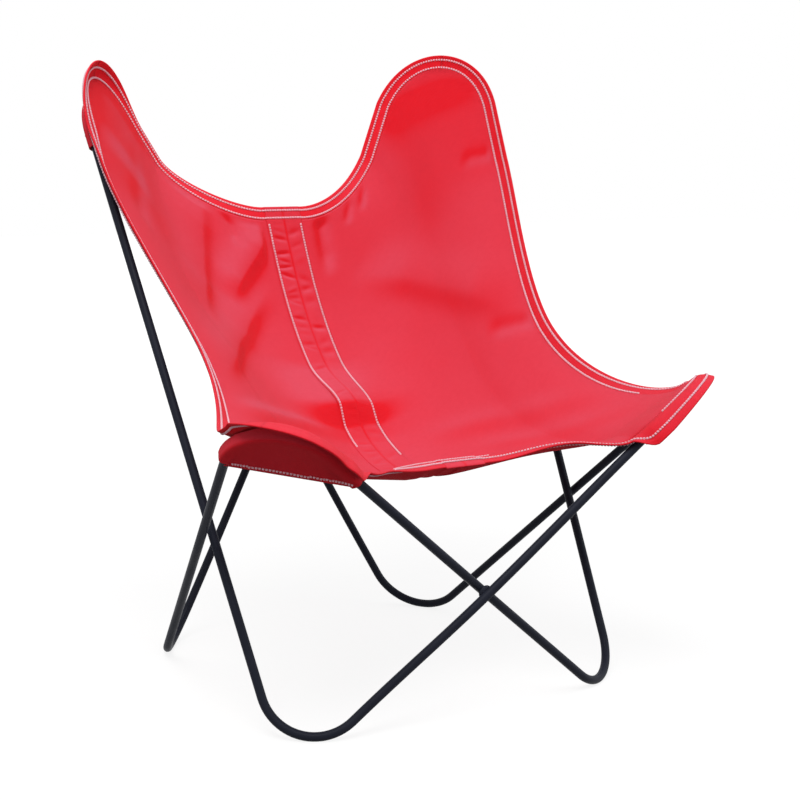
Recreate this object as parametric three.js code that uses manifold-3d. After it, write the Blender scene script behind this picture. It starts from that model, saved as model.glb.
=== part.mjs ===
// Butterfly sling chair: a sewn canvas sling hung on the four tips of a welded frame
// that is made of two bent steel rods. Millimetres, +Z up, the front of the seat is -Y.

import * as THREE from 'three';
import { mergeVertices } from 'three/addons/utils/BufferGeometryUtils.js';
import Module from 'manifold-3d';

const wasm = await Module();
wasm.setup();

// Frame. A corner is where the centre lines of two straight runs would meet if the rod had no bend.
const ROD_DIAMETER = 12;
const FRONT_FOOT_X = 268;
const FRONT_FOOT_Y = -235;
const REAR_FOOT_X = 224;
const REAR_FOOT_Y = 249;
const FRONT_TIP = new THREE.Vector3(371, -330, 474);
const BACK_TIP = new THREE.Vector3(340, 339, 955);
const FRONT_FOOT_RADIUS = 70;
const REAR_FOOT_RADIUS = 75;
const FRONT_TIP_RADIUS = 72;
const BACK_TIP_RADIUS = { left: 75, right: 62 };
const GROUND_FLAT = 0.6;
const WELD_RADIUS = 10;
const WELD_HEIGHT = 5;

// Canvas and thread.
const CLOTH = 1.2;
const THREAD_WIDTH = 1.2;
const THREAD_HEIGHT = 0.6;
const HEM_WIDTH = 20;
const OUTER_STITCH = 5;
const SEAM_HALF = 32;
const SEAM_STITCH = 27;
const EASE = 1;
const GAP = 0.3;

// Centre line of the sling in the plane x = 0, as [y, z]: top edge, seat crease and front edge.
const TOP_EDGE = [276, 640];
const CREASE = [85, 372];
const FRONT_EDGE = [-214, 343];
const BACK_LEAN = 22.7;
const CREASE_SLOPE = 34;
const FRONT_RISE = 39;
const BACK_HANDLES = [115, 110];
const SEAT_HANDLES = [130, 112];

// Outline of one half of the sling. Overhangs are measured outwards from the rod's centre line.
const WAIST = new THREE.Vector3(284, -29, 478);
const WAIST_DROP = 41;
const TOP_RUN_OVERHANG = { left: 25, right: 28 };
const SIDE_RUN_OVERHANG = 33;
const BACK_INNER_OVERHANG = { left: 20, right: 38 };
const BACK_OUTER_OVERHANG = { left: 25, right: 36 };
const BACK_TIP_OVERHANG = { left: 48, right: 50 };
const BACK_CURLS = { left: [2, 18, 0, 8], right: [6, 6, 6, 6] };
const FRONT_SIDE_OVERHANG = { left: 16, right: 10 };
const FRONT_INNER_OVERHANG = { left: 26, right: 31 };
const FRONT_TIP_OVERHANG = { left: 33, right: 47 };
const FRONT_CURLS = { left: [24, -17, -26], right: [-10, -16, -26] };
const FRONT_BULGE = { left: 7, right: 6 };
const FLANK_OVERHANG = { left: 17, right: 14 };
const LIP_RISE = { left: 0, right: 10 };
const FRONT_LOBE_START = 0.25;
const CURL_FROM = 14;
const TOP_RUN = 290;
const SIDE_RUN = 290;
const FRONT_RUN = 205;
const TOP_HANDLES = { left: [45, 38], right: [48, 48] };
const SIDE_HANDLES = [80, 80, 120, 50];
const FRONT_HANDLES = [40, 70];
const SEAM_PULL = 0.25;
const TOP_PULL = 0.6;
const SIDE_PULL = 0.2;
const TAUTNESS = 1;

// Pockets: distance of the mouth from the corner, along each of the two runs.
const BACK_POCKET_OUTER = { left: 240, right: 258 };
const BACK_POCKET_INNER = 250;
const FRONT_POCKET_SIDE = 160;
const FRONT_POCKET_INNER = { left: 206, right: 188 };
const FRONT_POCKET_END = { left: 206, right: 168 };
const MOUTH_STITCH = 8;

// Facets.
const ROD_SIDES = 12;
const BEND_STEPS = 8;
const RUN_STEPS = 6;
const EDGE_STEPS = 24;
const U_STEPS = 16;
const V_STEPS = 22;

// Shares of the hem's width, from its inner edge to the cut edge, and the two of them that are stitched.
const HEM_SHARES = [0, 0.15, 1 - OUTER_STITCH / HEM_WIDTH, 1];
const INNER_ROW = 1;
const OUTER_ROW = 2;

const CROSS = new THREE.Vector3(1, 0, 0);
const UP = new THREE.Vector3(0, 0, 1);
const SEAT_SIDE = new THREE.Vector3(0, -50, 480);
const ROD_RADIUS = ROD_DIAMETER / 2;
const CLOTH_LIFT = ROD_RADIUS + EASE + 2 * GAP + 1.5 * CLOTH;
const POCKET_DROP = ROD_RADIUS + EASE + GAP + 0.5 * CLOTH;

const STEEL = new THREE.MeshStandardMaterial({ color: 0x1b1b1e, roughness: 0.45, metalness: 0.3 });
const CANVAS = new THREE.MeshStandardMaterial({ color: 0xd9202e, roughness: 0.85, metalness: 0 });
const THREAD = new THREE.MeshStandardMaterial({ color: 0xf4c3cc, roughness: 0.7, metalness: 0 });

// Vectors

const mirrored = (point) => new THREE.Vector3(-point.x, point.y, point.z);
const between = (a, b, share) => a.clone().lerp(b, share);
const direction = (from, to) => to.clone().sub(from).normalize();
const moved = (point, along, distance) => point.clone().addScaledVector(along, distance);
const smooth = (share) => share * share * (3 - 2 * share);
const { lerp, smoothstep, clamp, degToRad } = THREE.MathUtils;

// Part of `vector` that is square to the unit vector `axis`.
function squareTo(vector, axis) {
  return vector.clone().addScaledVector(axis, -vector.dot(axis));
}

// Bent rod

// A bend of the rod at `corner`, between the runs towards `first` and `second`.
function makeBend(corner, first, second, radius) {
  const toFirst = direction(corner, first);
  const toSecond = direction(corner, second);
  const axis = toFirst.clone().add(toSecond).normalize();
  const half = toFirst.angleTo(toSecond) / 2;
  const normal = toFirst.clone().cross(toSecond).normalize();
  if (normal.dot(direction(corner, SEAT_SIDE)) < 0) {
    normal.negate();
  }
  return {
    corner, toFirst, toSecond, axis, half, normal, radius,
    outFirst: squareTo(toSecond, toFirst).normalize().negate(),
    outSecond: squareTo(toFirst, toSecond).normalize().negate(),
    centre: moved(corner, axis, radius / Math.sin(half)),
    tangentRun: radius / Math.tan(half),
  };
}

// Unit vector from the bend's centre to its arc: share 0 is at the first run, 1 at the second.
function bendSpoke(bend, share) {
  const angle = share * (Math.PI - 2 * bend.half);
  const sweep = squareTo(bend.axis, bend.outFirst).normalize().negate();
  return bend.outFirst.clone().multiplyScalar(Math.cos(angle)).addScaledVector(sweep, Math.sin(angle));
}

const bendPoint = (bend, share) => moved(bend.centre, bendSpoke(bend, share), bend.radius);

// Corner of a foot: its height is set so that the bend's lowest point rests on the floor.
function footCorner(x, y, first, second, radius) {
  const corner = new THREE.Vector3(x, y, 0);
  const floor = ROD_RADIUS - GROUND_FLAT;
  for (let pass = 0; pass < 60; pass += 1) {
    const bend = makeBend(corner, first, second, radius);
    const lowest = bend.centre.z - radius * Math.sqrt(1 - bend.normal.z ** 2);
    corner.z += floor - lowest;
  }
  return corner;
}

const tips = {
  frontRight: FRONT_TIP,
  frontLeft: mirrored(FRONT_TIP),
  backRight: BACK_TIP,
  backLeft: mirrored(BACK_TIP),
};
const feet = {};
feet.frontRight = footCorner(FRONT_FOOT_X, FRONT_FOOT_Y, tips.backRight, tips.frontLeft, FRONT_FOOT_RADIUS);
feet.rearRight = footCorner(REAR_FOOT_X, REAR_FOOT_Y, tips.frontRight, tips.backLeft, REAR_FOOT_RADIUS);
feet.frontLeft = mirrored(feet.frontRight);
feet.rearLeft = mirrored(feet.rearRight);

// Runs that cross in the middle plane are sprung apart along the normal of the cross.
function crossNormal(start, end, side) {
  const run = direction(start, end);
  const normal = new THREE.Vector3(0, -run.z, run.y).normalize();
  return normal.multiplyScalar(Math.sign(normal.y) * side);
}

function runPoint(start, end, share, side) {
  if (start.x * end.x > 0) {
    return between(start, end, share);
  }
  const crossing = start.x / (start.x - end.x);
  const late = share > 0.5;
  const place = late ? crossing + (1 - crossing) * (2 * share - 1) : crossing * 2 * share;
  const bow = Math.sin(Math.PI * share) ** 2 * (ROD_RADIUS + GAP / 2);
  return between(start, end, place).addScaledVector(crossNormal(start, end, side), bow);
}

// Closed centre line of one rod. Steps follow the bends and runs, so long runs have few.
class RodLoop extends THREE.Curve {
  constructor(bends, side) {
    super();
    this.bends = bends;
    this.side = side;
  }

  getUtoTmapping(u) {
    return u;
  }

  getPoint(t, target = new THREE.Vector3()) {
    const lap = (((t % 1) + 1) % 1) * this.bends.length;
    const index = Math.floor(lap);
    const step = (lap - index) * (BEND_STEPS + RUN_STEPS);
    const bend = this.bends[index];
    if (step <= BEND_STEPS) {
      return target.copy(bendPoint(bend, step / BEND_STEPS));
    }
    const next = this.bends[(index + 1) % this.bends.length];
    const share = (step - BEND_STEPS) / RUN_STEPS;
    return target.copy(runPoint(bendPoint(bend, 1), bendPoint(next, 0), share, this.side));
  }
}

function makeLoop(corners, radii, side) {
  const count = corners.length;
  const bends = corners.map((corner, i) => (
    makeBend(corner, corners[(i + count - 1) % count], corners[(i + 1) % count], radii[i])
  ));
  return new RodLoop(bends, side);
}

const radiiOf = (side) => [BACK_TIP_RADIUS[side], FRONT_FOOT_RADIUS, FRONT_TIP_RADIUS, REAR_FOOT_RADIUS];
const loopA = makeLoop([tips.backLeft, feet.frontLeft, tips.frontRight, feet.rearRight], radiiOf('left'), -1);
const loopB = makeLoop([tips.backRight, feet.frontRight, tips.frontLeft, feet.rearLeft], radiiOf('right'), 1);

// Solids for cutting and joining

function toSolid(geometry) {
  const bare = new THREE.BufferGeometry();
  bare.setAttribute('position', geometry.getAttribute('position'));
  bare.setIndex(geometry.getIndex());
  const merged = mergeVertices(bare, 1e-4);
  const vertProperties = new Float32Array(merged.getAttribute('position').array);
  const triVerts = new Uint32Array(merged.getIndex().array);
  return new wasm.Manifold(new wasm.Mesh({ numProp: 3, vertProperties, triVerts }));
}

function toGeometry(solid) {
  const mesh = solid.getMesh();
  const geometry = new THREE.BufferGeometry();
  geometry.setAttribute('position', new THREE.BufferAttribute(mesh.vertProperties, 3));
  geometry.setIndex(new THREE.BufferAttribute(mesh.triVerts, 1));
  geometry.computeVertexNormals();
  return geometry;
}

// Rod swept round its loop, with its feet ground flat at the floor.
function makeRod(loop) {
  const steps = loop.bends.length * (BEND_STEPS + RUN_STEPS);
  const tube = toSolid(new THREE.TubeGeometry(loop, steps, ROD_RADIUS, ROD_SIDES, true));
  const span = 2 * (FRONT_TIP.x + BACK_TIP.y + ROD_DIAMETER);
  const floor = new THREE.BoxGeometry(span, span, ROD_DIAMETER);
  floor.translate(0, 0, -ROD_RADIUS);
  return toGeometry(tube.subtract(toSolid(floor)));
}

// Fillet of weld metal all round the place where two runs touch in the middle plane.
function makeWeld(start, end) {
  const share = start.x / (start.x - end.x);
  const normal = crossNormal(start, end, 1);
  const centre = between(start, end, share);
  const turn = new THREE.Quaternion().setFromUnitVectors(new THREE.Vector3(0, 0, 1), normal);
  const bead = new THREE.SphereGeometry(1, 20, 10);
  bead.scale(WELD_RADIUS, WELD_RADIUS, WELD_HEIGHT);
  bead.applyQuaternion(turn).translate(centre.x, centre.y, centre.z);
  let weld = toSolid(bead);
  for (const side of [-1, 1]) {
    const run = direction(start, end);
    run.x *= side;
    const rod = new THREE.CylinderGeometry(ROD_RADIUS + GAP, ROD_RADIUS + GAP, 6 * WELD_RADIUS, 24);
    rod.applyQuaternion(new THREE.Quaternion().setFromUnitVectors(new THREE.Vector3(0, 1, 0), run));
    const seat = moved(centre, normal, -side * (ROD_RADIUS + GAP / 2));
    weld = weld.subtract(toSolid(rod.translate(seat.x, seat.y, seat.z)));
  }
  return toGeometry(weld);
}

// Sheets. A spot is a place on the cloth, `at`, with the cloth's normal there, `up`; a grid is rows of spots.

// Triangles of a grid, with the cloth's normals on their outer side.
function gridFaces(grid, indexOf) {
  const faces = [];
  let facing = 0;
  const addFace = (...spots) => {
    const face = spots.map(indexOf);
    if (new Set(face).size < 3) {
      return;
    }
    faces.push(face);
    const [a, b, c] = spots.map((spot) => spot.at);
    facing += b.clone().sub(a).cross(c.clone().sub(a)).dot(spots[0].up);
  };
  for (let r = 0; r < grid.length - 1; r += 1) {
    for (let c = 0; c < grid[r].length - 1; c += 1) {
      addFace(grid[r][c], grid[r + 1][c], grid[r + 1][c + 1]);
      addFace(grid[r][c], grid[r + 1][c + 1], grid[r][c + 1]);
    }
  }
  return facing < 0 ? faces.map((face) => face.reverse()) : faces;
}

// Closed sheet of one thickness round grids that share the spots of their common borders.
function makeSheet(grids, offset = 0, thickness = CLOTH) {
  const spots = [];
  const places = new Map();
  const indexOf = (spot) => {
    if (!places.has(spot)) {
      places.set(spot, spots.length);
      spots.push(spot);
    }
    return places.get(spot);
  };
  const faces = grids.flatMap((grid) => gridFaces(grid, indexOf));
  const count = spots.length;
  const index = faces.flatMap(([a, b, c]) => [a, b, c, c + count, b + count, a + count]);
  const sides = faces.flatMap(([a, b, c]) => [[a, b], [b, c], [c, a]]);
  const used = new Set(sides.map((edge) => edge.join()));
  for (const [a, b] of sides) {
    if (!used.has(`${b},${a}`)) {
      index.push(b, a, a + count, b, a + count, b + count);
    }
  }
  const layer = (distance) => spots.flatMap((spot) => moved(spot.at, spot.up, distance).toArray());
  const position = [...layer(offset + thickness / 2), ...layer(offset - thickness / 2)];
  const geometry = new THREE.BufferGeometry();
  geometry.setAttribute('position', new THREE.Float32BufferAttribute(position, 3));
  geometry.setIndex(index);
  geometry.computeVertexNormals();
  return geometry;
}

// Normal of a grid of places by differences to the neighbours, on the same side as `towards`.
function gridNormal(places, row, column, towards) {
  const line = places[row];
  const along = places[Math.min(row + 1, places.length - 1)][column].clone()
    .sub(places[Math.max(row - 1, 0)][column]);
  const across = line[Math.min(column + 1, line.length - 1)].clone().sub(line[Math.max(column - 1, 0)]);
  const normal = along.cross(across).normalize();
  return normal.dot(towards) < 0 ? normal.negate() : normal;
}

// Sling

const slope = (degrees) => {
  const angle = degToRad(degrees);
  return new THREE.Vector3(0, -Math.cos(angle), -Math.sin(angle));
};
const topEdge = new THREE.Vector3(0, ...TOP_EDGE);
const crease = new THREE.Vector3(0, ...CREASE);
const frontEdge = new THREE.Vector3(0, ...FRONT_EDGE);
const backWay = slope(90 - BACK_LEAN);
const creaseWay = slope(CREASE_SLOPE);
const frontWay = slope(-FRONT_RISE);
const topHem = moved(topEdge, backWay, HEM_WIDTH);
const frontHem = moved(frontEdge, frontWay, -HEM_WIDTH);
const seam = new THREE.CurvePath();
seam.add(new THREE.CubicBezierCurve3(
  topHem, moved(topHem, backWay, BACK_HANDLES[0]), moved(crease, creaseWay, -BACK_HANDLES[1]), crease,
));
seam.add(new THREE.CubicBezierCurve3(
  crease, moved(crease, creaseWay, SEAT_HANDLES[0]), moved(frontHem, frontWay, -SEAT_HANDLES[1]), frontHem,
));

// Side of the cloth that faces the sitter, where the centre line goes the given way.
const upward = (way) => way.clone().cross(CROSS).normalize();
const besideSeam = (point) => moved(point, CROSS, SEAM_HALF + GAP);

// Overhang or curl round a lobe: it goes from one run's value to the other's, with its own at the tip.
function roundLobe([start, middle, end], share) {
  const swell = Math.sin(Math.PI * share) ** 2 * (middle - (start + end) / 2);
  return lerp(start, end, share) + swell;
}

function lobeEdge(bend, overhangs, reverse) {
  return (share) => {
    const spoke = bendSpoke(bend, reverse ? 1 - share : share);
    return moved(bend.centre, spoke, bend.radius + roundLobe(overhangs, share))
      .addScaledVector(bend.normal, CLOTH_LIFT);
  };
}

function bezier(a, b, c, d) {
  const curve = new THREE.CubicBezierCurve3(a, b, c, d);
  return (share) => curve.getPoint(share);
}

const straight = (a, b) => (share) => between(a, b, share);

// Stations along one run of the edge: place, normal of the cloth, and curl of the rim towards that normal.
function edgeRun(pointAt, normals, curlAt) {
  const stations = [];
  for (let i = 1; i <= EDGE_STEPS; i += 1) {
    const share = i / EDGE_STEPS;
    const blend = smooth(share);
    stations.push({
      edge: pointAt(share),
      normal: between(normals[0], normals[1], blend).normalize(),
      curl: curlAt(share, blend),
    });
  }
  return stations;
}

// Outline of the right-hand half: top edge, outer edge and front edge, which meet at the tips of the lobes.
function makeOutline(side, back, front) {
  const onRun = (bend, along, run, out, overhang) => (
    moved(bend.corner, along, run).addScaledVector(out, overhang).addScaledVector(bend.normal, CLOTH_LIFT)
  );
  const start = besideSeam(topEdge);
  const finish = besideSeam(frontEdge);
  const inner = onRun(back, back.toSecond, TOP_RUN, back.outSecond, TOP_RUN_OVERHANG[side]);
  const outer = onRun(back, back.toFirst, SIDE_RUN, back.outFirst, SIDE_RUN_OVERHANG);
  const flank = onRun(front, front.toSecond, FRONT_RUN, front.outSecond, FLANK_OVERHANG[side]);
  const backOverhangs = [BACK_INNER_OVERHANG[side], BACK_TIP_OVERHANG[side], BACK_OUTER_OVERHANG[side]];
  const frontOverhangs = [FRONT_SIDE_OVERHANG[side], FRONT_TIP_OVERHANG[side], FRONT_INNER_OVERHANG[side]];
  const backLobe = lobeEdge(back, backOverhangs, true);
  const frontBend = lobeEdge(front, frontOverhangs, false);
  const onLobe = (share) => lerp(FRONT_LOBE_START, 1, share);
  const frontLobe = (share) => frontBend(onLobe(share));
  const topNormal = upward(backWay);
  const waistNormal = back.normal.clone().add(front.normal).normalize();
  const waistWay = slope(WAIST_DROP);
  const wayIn = direction(frontLobe(0), frontLobe(0.02));
  const lipWay = direction(frontLobe(1), flank).add(direction(flank, finish)).normalize();
  const curls = BACK_CURLS[side];
  const topHandles = TOP_HANDLES[side];
  const frontCurls = FRONT_CURLS[side];
  const droop = (overhang, curl) => curl * smoothstep(overhang, CURL_FROM, 2 * CURL_FROM);
  const bulge = (share) => FRONT_BULGE[side] * Math.sin(Math.PI * share);
  const flankOverhang = (share) => lerp(frontOverhangs[2], FLANK_OVERHANG[side], share) + bulge(share);
  const flankRun = (share) => moved(straight(frontLobe(1), flank)(share), front.outSecond, bulge(share));
  const lobeDroop = (share) => droop(roundLobe(frontOverhangs, share), roundLobe(frontCurls, share));
  const topRun = bezier(
    start, moved(start, CROSS, topHandles[0]), moved(inner, back.toSecond, topHandles[1]), inner,
  );
  const upperRun = bezier(
    outer, moved(outer, back.toFirst, SIDE_HANDLES[0]), moved(WAIST, waistWay, -SIDE_HANDLES[1]), WAIST,
  );
  const lowerRun = bezier(
    WAIST, moved(WAIST, waistWay, SIDE_HANDLES[2]), moved(frontLobe(0), wayIn, -SIDE_HANDLES[3]), frontLobe(0),
  );
  const lipLine = bezier(
    flank, moved(flank, lipWay, FRONT_HANDLES[0]), moved(finish, CROSS, FRONT_HANDLES[1]), finish,
  );
  const lipRun = (share) => moved(lipLine(share), UP, LIP_RISE[side] * Math.sin(Math.PI * share) ** 2);
  const backFlat = [back.normal, back.normal];
  const frontFlat = [front.normal, front.normal];
  const stations = [
    { edge: start, normal: topNormal, curl: 0 },
    ...edgeRun(topRun, [topNormal, back.normal], (share, blend) => curls[0] * blend),
    ...edgeRun(straight(inner, backLobe(0)), backFlat, () => curls[0]),
    ...edgeRun(backLobe, backFlat, (share) => roundLobe(curls, share)),
    ...edgeRun(straight(backLobe(1), outer), backFlat, (share) => lerp(curls[2], curls[3], share)),
    ...edgeRun(upperRun, [back.normal, waistNormal], (share, blend) => curls[3] * (1 - blend)),
    ...edgeRun(lowerRun, [waistNormal, front.normal], () => 0),
    ...edgeRun(frontLobe, frontFlat, (share) => lobeDroop(onLobe(share))),
    ...edgeRun(flankRun, frontFlat, (share) => droop(flankOverhang(share), frontCurls[2])),
    ...edgeRun(lipRun, [front.normal, upward(frontWay)], () => 0),
  ];
  const last = stations.length - 1;
  stations.forEach((station, i) => {
    const tangent = direction(stations[Math.max(i - 2, 0)].edge, stations[Math.min(i + 2, last)].edge);
    station.hem = moved(station.edge, tangent.cross(station.normal).normalize(), HEM_WIDTH);
  });
  stations[0].hem = besideSeam(topHem);
  stations[last].hem = besideSeam(frontHem);
  const backTip = 2.5 * EDGE_STEPS;
  const frontTip = Math.round((6 + (0.5 - FRONT_LOBE_START) / (1 - FRONT_LOBE_START)) * EDGE_STEPS);
  return {
    top: byLength(stations.slice(0, backTip + 1)),
    outer: byLength(stations.slice(backTip, frontTip + 1)),
    front: byLength(stations.slice(frontTip).reverse()),
  };
}

// Station of a line of stations at a share of its length.
function byLength(stations) {
  const lengths = [0];
  for (let i = 1; i < stations.length; i += 1) {
    lengths.push(lengths[i - 1] + stations[i].hem.distanceTo(stations[i - 1].hem));
  }
  const total = lengths[lengths.length - 1];
  return (share) => {
    const length = clamp(share, 0, 1) * total;
    const next = Math.max(1, lengths.findIndex((value) => value >= length - 1e-9));
    const part = (length - lengths[next - 1]) / (lengths[next] - lengths[next - 1]);
    const [a, b] = [stations[next - 1], stations[next]];
    return {
      edge: between(a.edge, b.edge, part),
      hem: between(a.hem, b.hem, part),
      normal: between(a.normal, b.normal, part).normalize(),
      curl: lerp(a.curl, b.curl, part),
    };
  };
}

// Sum of points with weights.
function blended(...terms) {
  const sum = new THREE.Vector3();
  terms.forEach(([point, weight]) => sum.addScaledVector(point, weight));
  return sum;
}

// Surface of the right-hand panel inside its hem: u goes from the seam to the outer edge, v from top to front.
// A blend of its four edges is turned at three of them towards the plane set there, and the seat is drawn
// part of the way to the straight lines between its seam and its outer edge.
function makeSurface({ top, outer, front }) {
  const seamAt = (v) => besideSeam(seam.getPoint(v));
  const corners = [top(0).hem, top(1).hem, front(0).hem, front(1).hem];
  const patch = (u, v) => blended(
    [top(u).hem, 1 - v], [front(u).hem, v], [seamAt(v), 1 - u], [outer(v).hem, u],
    [corners[0], -(1 - u) * (1 - v)], [corners[1], -u * (1 - v)], [corners[2], -(1 - u) * v], [corners[3], -u * v],
  );
  const small = 0.01;
  const stray = (from, to, normal) => {
    const way = to.sub(from).divideScalar(small);
    return normal.clone().multiplyScalar(-way.dot(normal));
  };
  const leaving = (share) => share * (1 - share) ** 2;
  const arriving = (share) => -leaving(1 - share);
  const taut = (v) => TAUTNESS * v * Math.max(0, Math.sin(Math.PI * v)) ** 0.6;
  return (u, v) => blended(
    [patch(u, v), 1 - taut(v)],
    [seamAt(v), (1 - u) * taut(v)],
    [outer(v).hem, u * taut(v)],
    [stray(patch(0, v), patch(small, v), upward(seam.getTangent(v))), SEAM_PULL * leaving(u)],
    [stray(patch(1 - small, v), patch(1, v), outer(v).normal), SIDE_PULL * arriving(u)],
    [stray(patch(u, 0), patch(u, small), top(u).normal), TOP_PULL * leaving(v)],
  );
}

// Row of spots across the hem at a station, from the inner stitching to the cut edge.
function hemRow(station) {
  const outwards = direction(station.hem, station.edge);
  return HEM_SHARES.map((share) => ({
    at: between(station.hem, station.edge, share).addScaledVector(station.normal, station.curl * share ** 2),
    up: moved(station.normal, outwards, -2 * station.curl * share / HEM_WIDTH).normalize(),
  }));
}

// Shares of the way, closer together towards the tips of the lobes.
const U_SHARES = Array.from({ length: U_STEPS + 1 }, (_, i) => 1 - (1 - i / U_STEPS) ** 1.25);
const V_SHARES = Array.from({ length: V_STEPS + 1 }, (_, j) => (
  j / V_STEPS - 0.05 * Math.sin(2 * Math.PI * j / V_STEPS)
));

// One half of the sling: the field of its panel, the hem along its three edges, and its two pockets.
function makeHalf(side) {
  const back = makeBend(tips.backRight, feet.frontRight, feet.rearLeft, BACK_TIP_RADIUS[side]);
  const front = makeBend(tips.frontRight, feet.rearRight, feet.frontLeft, FRONT_TIP_RADIUS);
  const outline = makeOutline(side, back, front);
  const surface = makeSurface(outline);
  const stations = {
    top: U_SHARES.map(outline.top),
    outer: V_SHARES.map(outline.outer),
    front: U_SHARES.map(outline.front),
  };
  const hems = {
    top: stations.top.map(hemRow),
    outer: stations.outer.map(hemRow),
    front: stations.front.map(hemRow),
  };
  hems.outer[0] = hems.top[U_STEPS];
  hems.outer[V_STEPS] = hems.front[U_STEPS];
  const places = V_SHARES.map((v) => U_SHARES.map((u) => surface(u, v)));
  const field = places.map((row, j) => row.map((at, i) => {
    const towards = upward(seam.getTangent(V_SHARES[j])).lerp(stations.outer[j].normal, U_SHARES[i]);
    return { at, up: i === 0 ? upward(seam.getTangent(V_SHARES[j])) : gridNormal(places, j, i, towards) };
  }));
  field[0] = hems.top.map((row) => row[0]);
  field[V_STEPS] = hems.front.map((row) => row[0]);
  field.forEach((row, j) => {
    row[U_STEPS] = hems.outer[j][0];
  });
  const runOf = (bend, way) => (station) => nearestRod(bend, station.edge)[way] ?? 0;
  const within = (list, bend, way, run) => list.filter((station) => runOf(bend, way)(station) <= run);
  const backStations = [
    ...within(stations.top.slice(U_STEPS / 2), back, 'onSecond', BACK_POCKET_INNER + HEM_WIDTH),
    ...within(stations.outer.slice(1, V_STEPS / 2), back, 'onFirst', BACK_POCKET_OUTER[side] + HEM_WIDTH),
  ];
  const frontStations = [
    ...within(stations.outer.slice(V_STEPS / 2), front, 'onFirst', FRONT_POCKET_SIDE - 4 * EASE),
    ...within(stations.front.slice(U_STEPS / 2, -1), front, 'onSecond', FRONT_POCKET_END[side]).reverse(),
  ];
  const pockets = {
    back: makePocket(backStations, back, [back.toSecond, BACK_POCKET_INNER], [back.toFirst, BACK_POCKET_OUTER[side]]),
    front: makePocket(
      frontStations, front, [front.toFirst, FRONT_POCKET_SIDE], [front.toSecond, FRONT_POCKET_INNER[side]],
    ),
  };
  if (side === 'left') {
    const grids = [field, hems.top, hems.outer, hems.front, pockets.back, pockets.front];
    for (const spot of new Set(grids.flat(2))) {
      spot.at.x *= -1;
      spot.up.x *= -1;
    }
  }
  return { field, hems, pockets };
}

// Strip between the two panels, down the middle of the sling, as rows of a centre point and a normal.
function makeSeamRows() {
  const inHem = (hem, edge, way) => HEM_SHARES.map((share) => ({ at: between(hem, edge, share), up: upward(way) }));
  const inField = V_SHARES.slice(1, -1).map((v) => ({ at: seam.getPoint(v), up: upward(seam.getTangent(v)) }));
  return [...inHem(topHem, topEdge, backWay).reverse(), ...inField, ...inHem(frontHem, frontEdge, frontWay)];
}

const aside = (spot, x) => ({ at: spot.at.clone().setX(x), up: spot.up });

// Rows with the last one drawn in by half a gap, so that neighbours end to end stay apart.
function trimmed(rows) {
  const [next, end] = rows.slice(-2);
  const drawn = end.map((spot, c) => (
    { at: moved(spot.at, direction(spot.at, next[c].at), GAP / 2), up: spot.up }
  ));
  return [...rows.slice(0, -1), drawn];
}

const reversed = (rows) => rows.slice().reverse();

// The four stretches of the hem, which end at the tips of the lobes: grids for a sheet, and rows in line.
function hemStretches({ left, right }) {
  const across = (edge) => {
    const [a, b] = [left, right].map((half) => trimmed(half.hems[edge]));
    return { grids: [a, b, [a[0], b[0]]], rows: [...reversed(a), ...b] };
  };
  const beside = (half) => {
    const rows = reversed(trimmed(reversed(trimmed(half.hems.outer))));
    return { grids: [rows], rows };
  };
  return { top: across('top'), left: beside(left), right: beside(right), front: across('front') };
}

// Thread laid along a line of spots: a narrow ribbon on the side that their normals face.
function makeThread(line) {
  const last = line.length - 1;
  const ribbon = line.map((spot, i) => {
    const way = direction(line[Math.max(i - 1, 0)].at, line[Math.min(i + 1, last)].at);
    const across = way.cross(spot.up).normalize();
    return [-0.5, 0.5].map((share) => ({ at: moved(spot.at, across, share * THREAD_WIDTH), up: spot.up }));
  });
  return makeSheet([ribbon], CLOTH / 2 + GAP + THREAD_HEIGHT / 2, THREAD_HEIGHT);
}

// Pockets

// Place on the rod's centre line next to a point of a lobe's edge, the way outwards and the overhang there.
function nearestRod(bend, point) {
  const flat = squareTo(point.clone().sub(bend.corner), bend.normal);
  const onFirst = flat.dot(bend.toFirst);
  const onSecond = flat.dot(bend.toSecond);
  if (onFirst > bend.tangentRun && flat.dot(bend.outFirst) > -bend.radius) {
    const axisPoint = moved(bend.corner, bend.toFirst, onFirst);
    return { axisPoint, out: bend.outFirst, overhang: flat.dot(bend.outFirst), onFirst };
  }
  if (onSecond > bend.tangentRun && flat.dot(bend.outSecond) > -bend.radius) {
    const axisPoint = moved(bend.corner, bend.toSecond, onSecond);
    return { axisPoint, out: bend.outSecond, overhang: flat.dot(bend.outSecond), onSecond };
  }
  const spoke = flat.add(bend.corner).sub(bend.centre);
  const overhang = spoke.length() - bend.radius;
  const out = spoke.normalize();
  return { axisPoint: moved(bend.centre, out, bend.radius), out, overhang };
}

// Section of a pocket under the rod, as the distance outwards from the rod's centre line and the height.
const POCKET_WRAP = [
  { out: POCKET_DROP + GAP, height: -0.2 * ROD_RADIUS },
  { out: 0.8 * POCKET_DROP, height: -0.8 * POCKET_DROP },
  { out: 0.3 * POCKET_DROP, height: -POCKET_DROP - GAP },
  { out: -0.7 * POCKET_DROP, height: -POCKET_DROP - GAP },
];
const POCKET_CLEAR = POCKET_DROP + 2 * EASE;
const POCKET_INSIDE = [0.35, 0.7];

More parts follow.
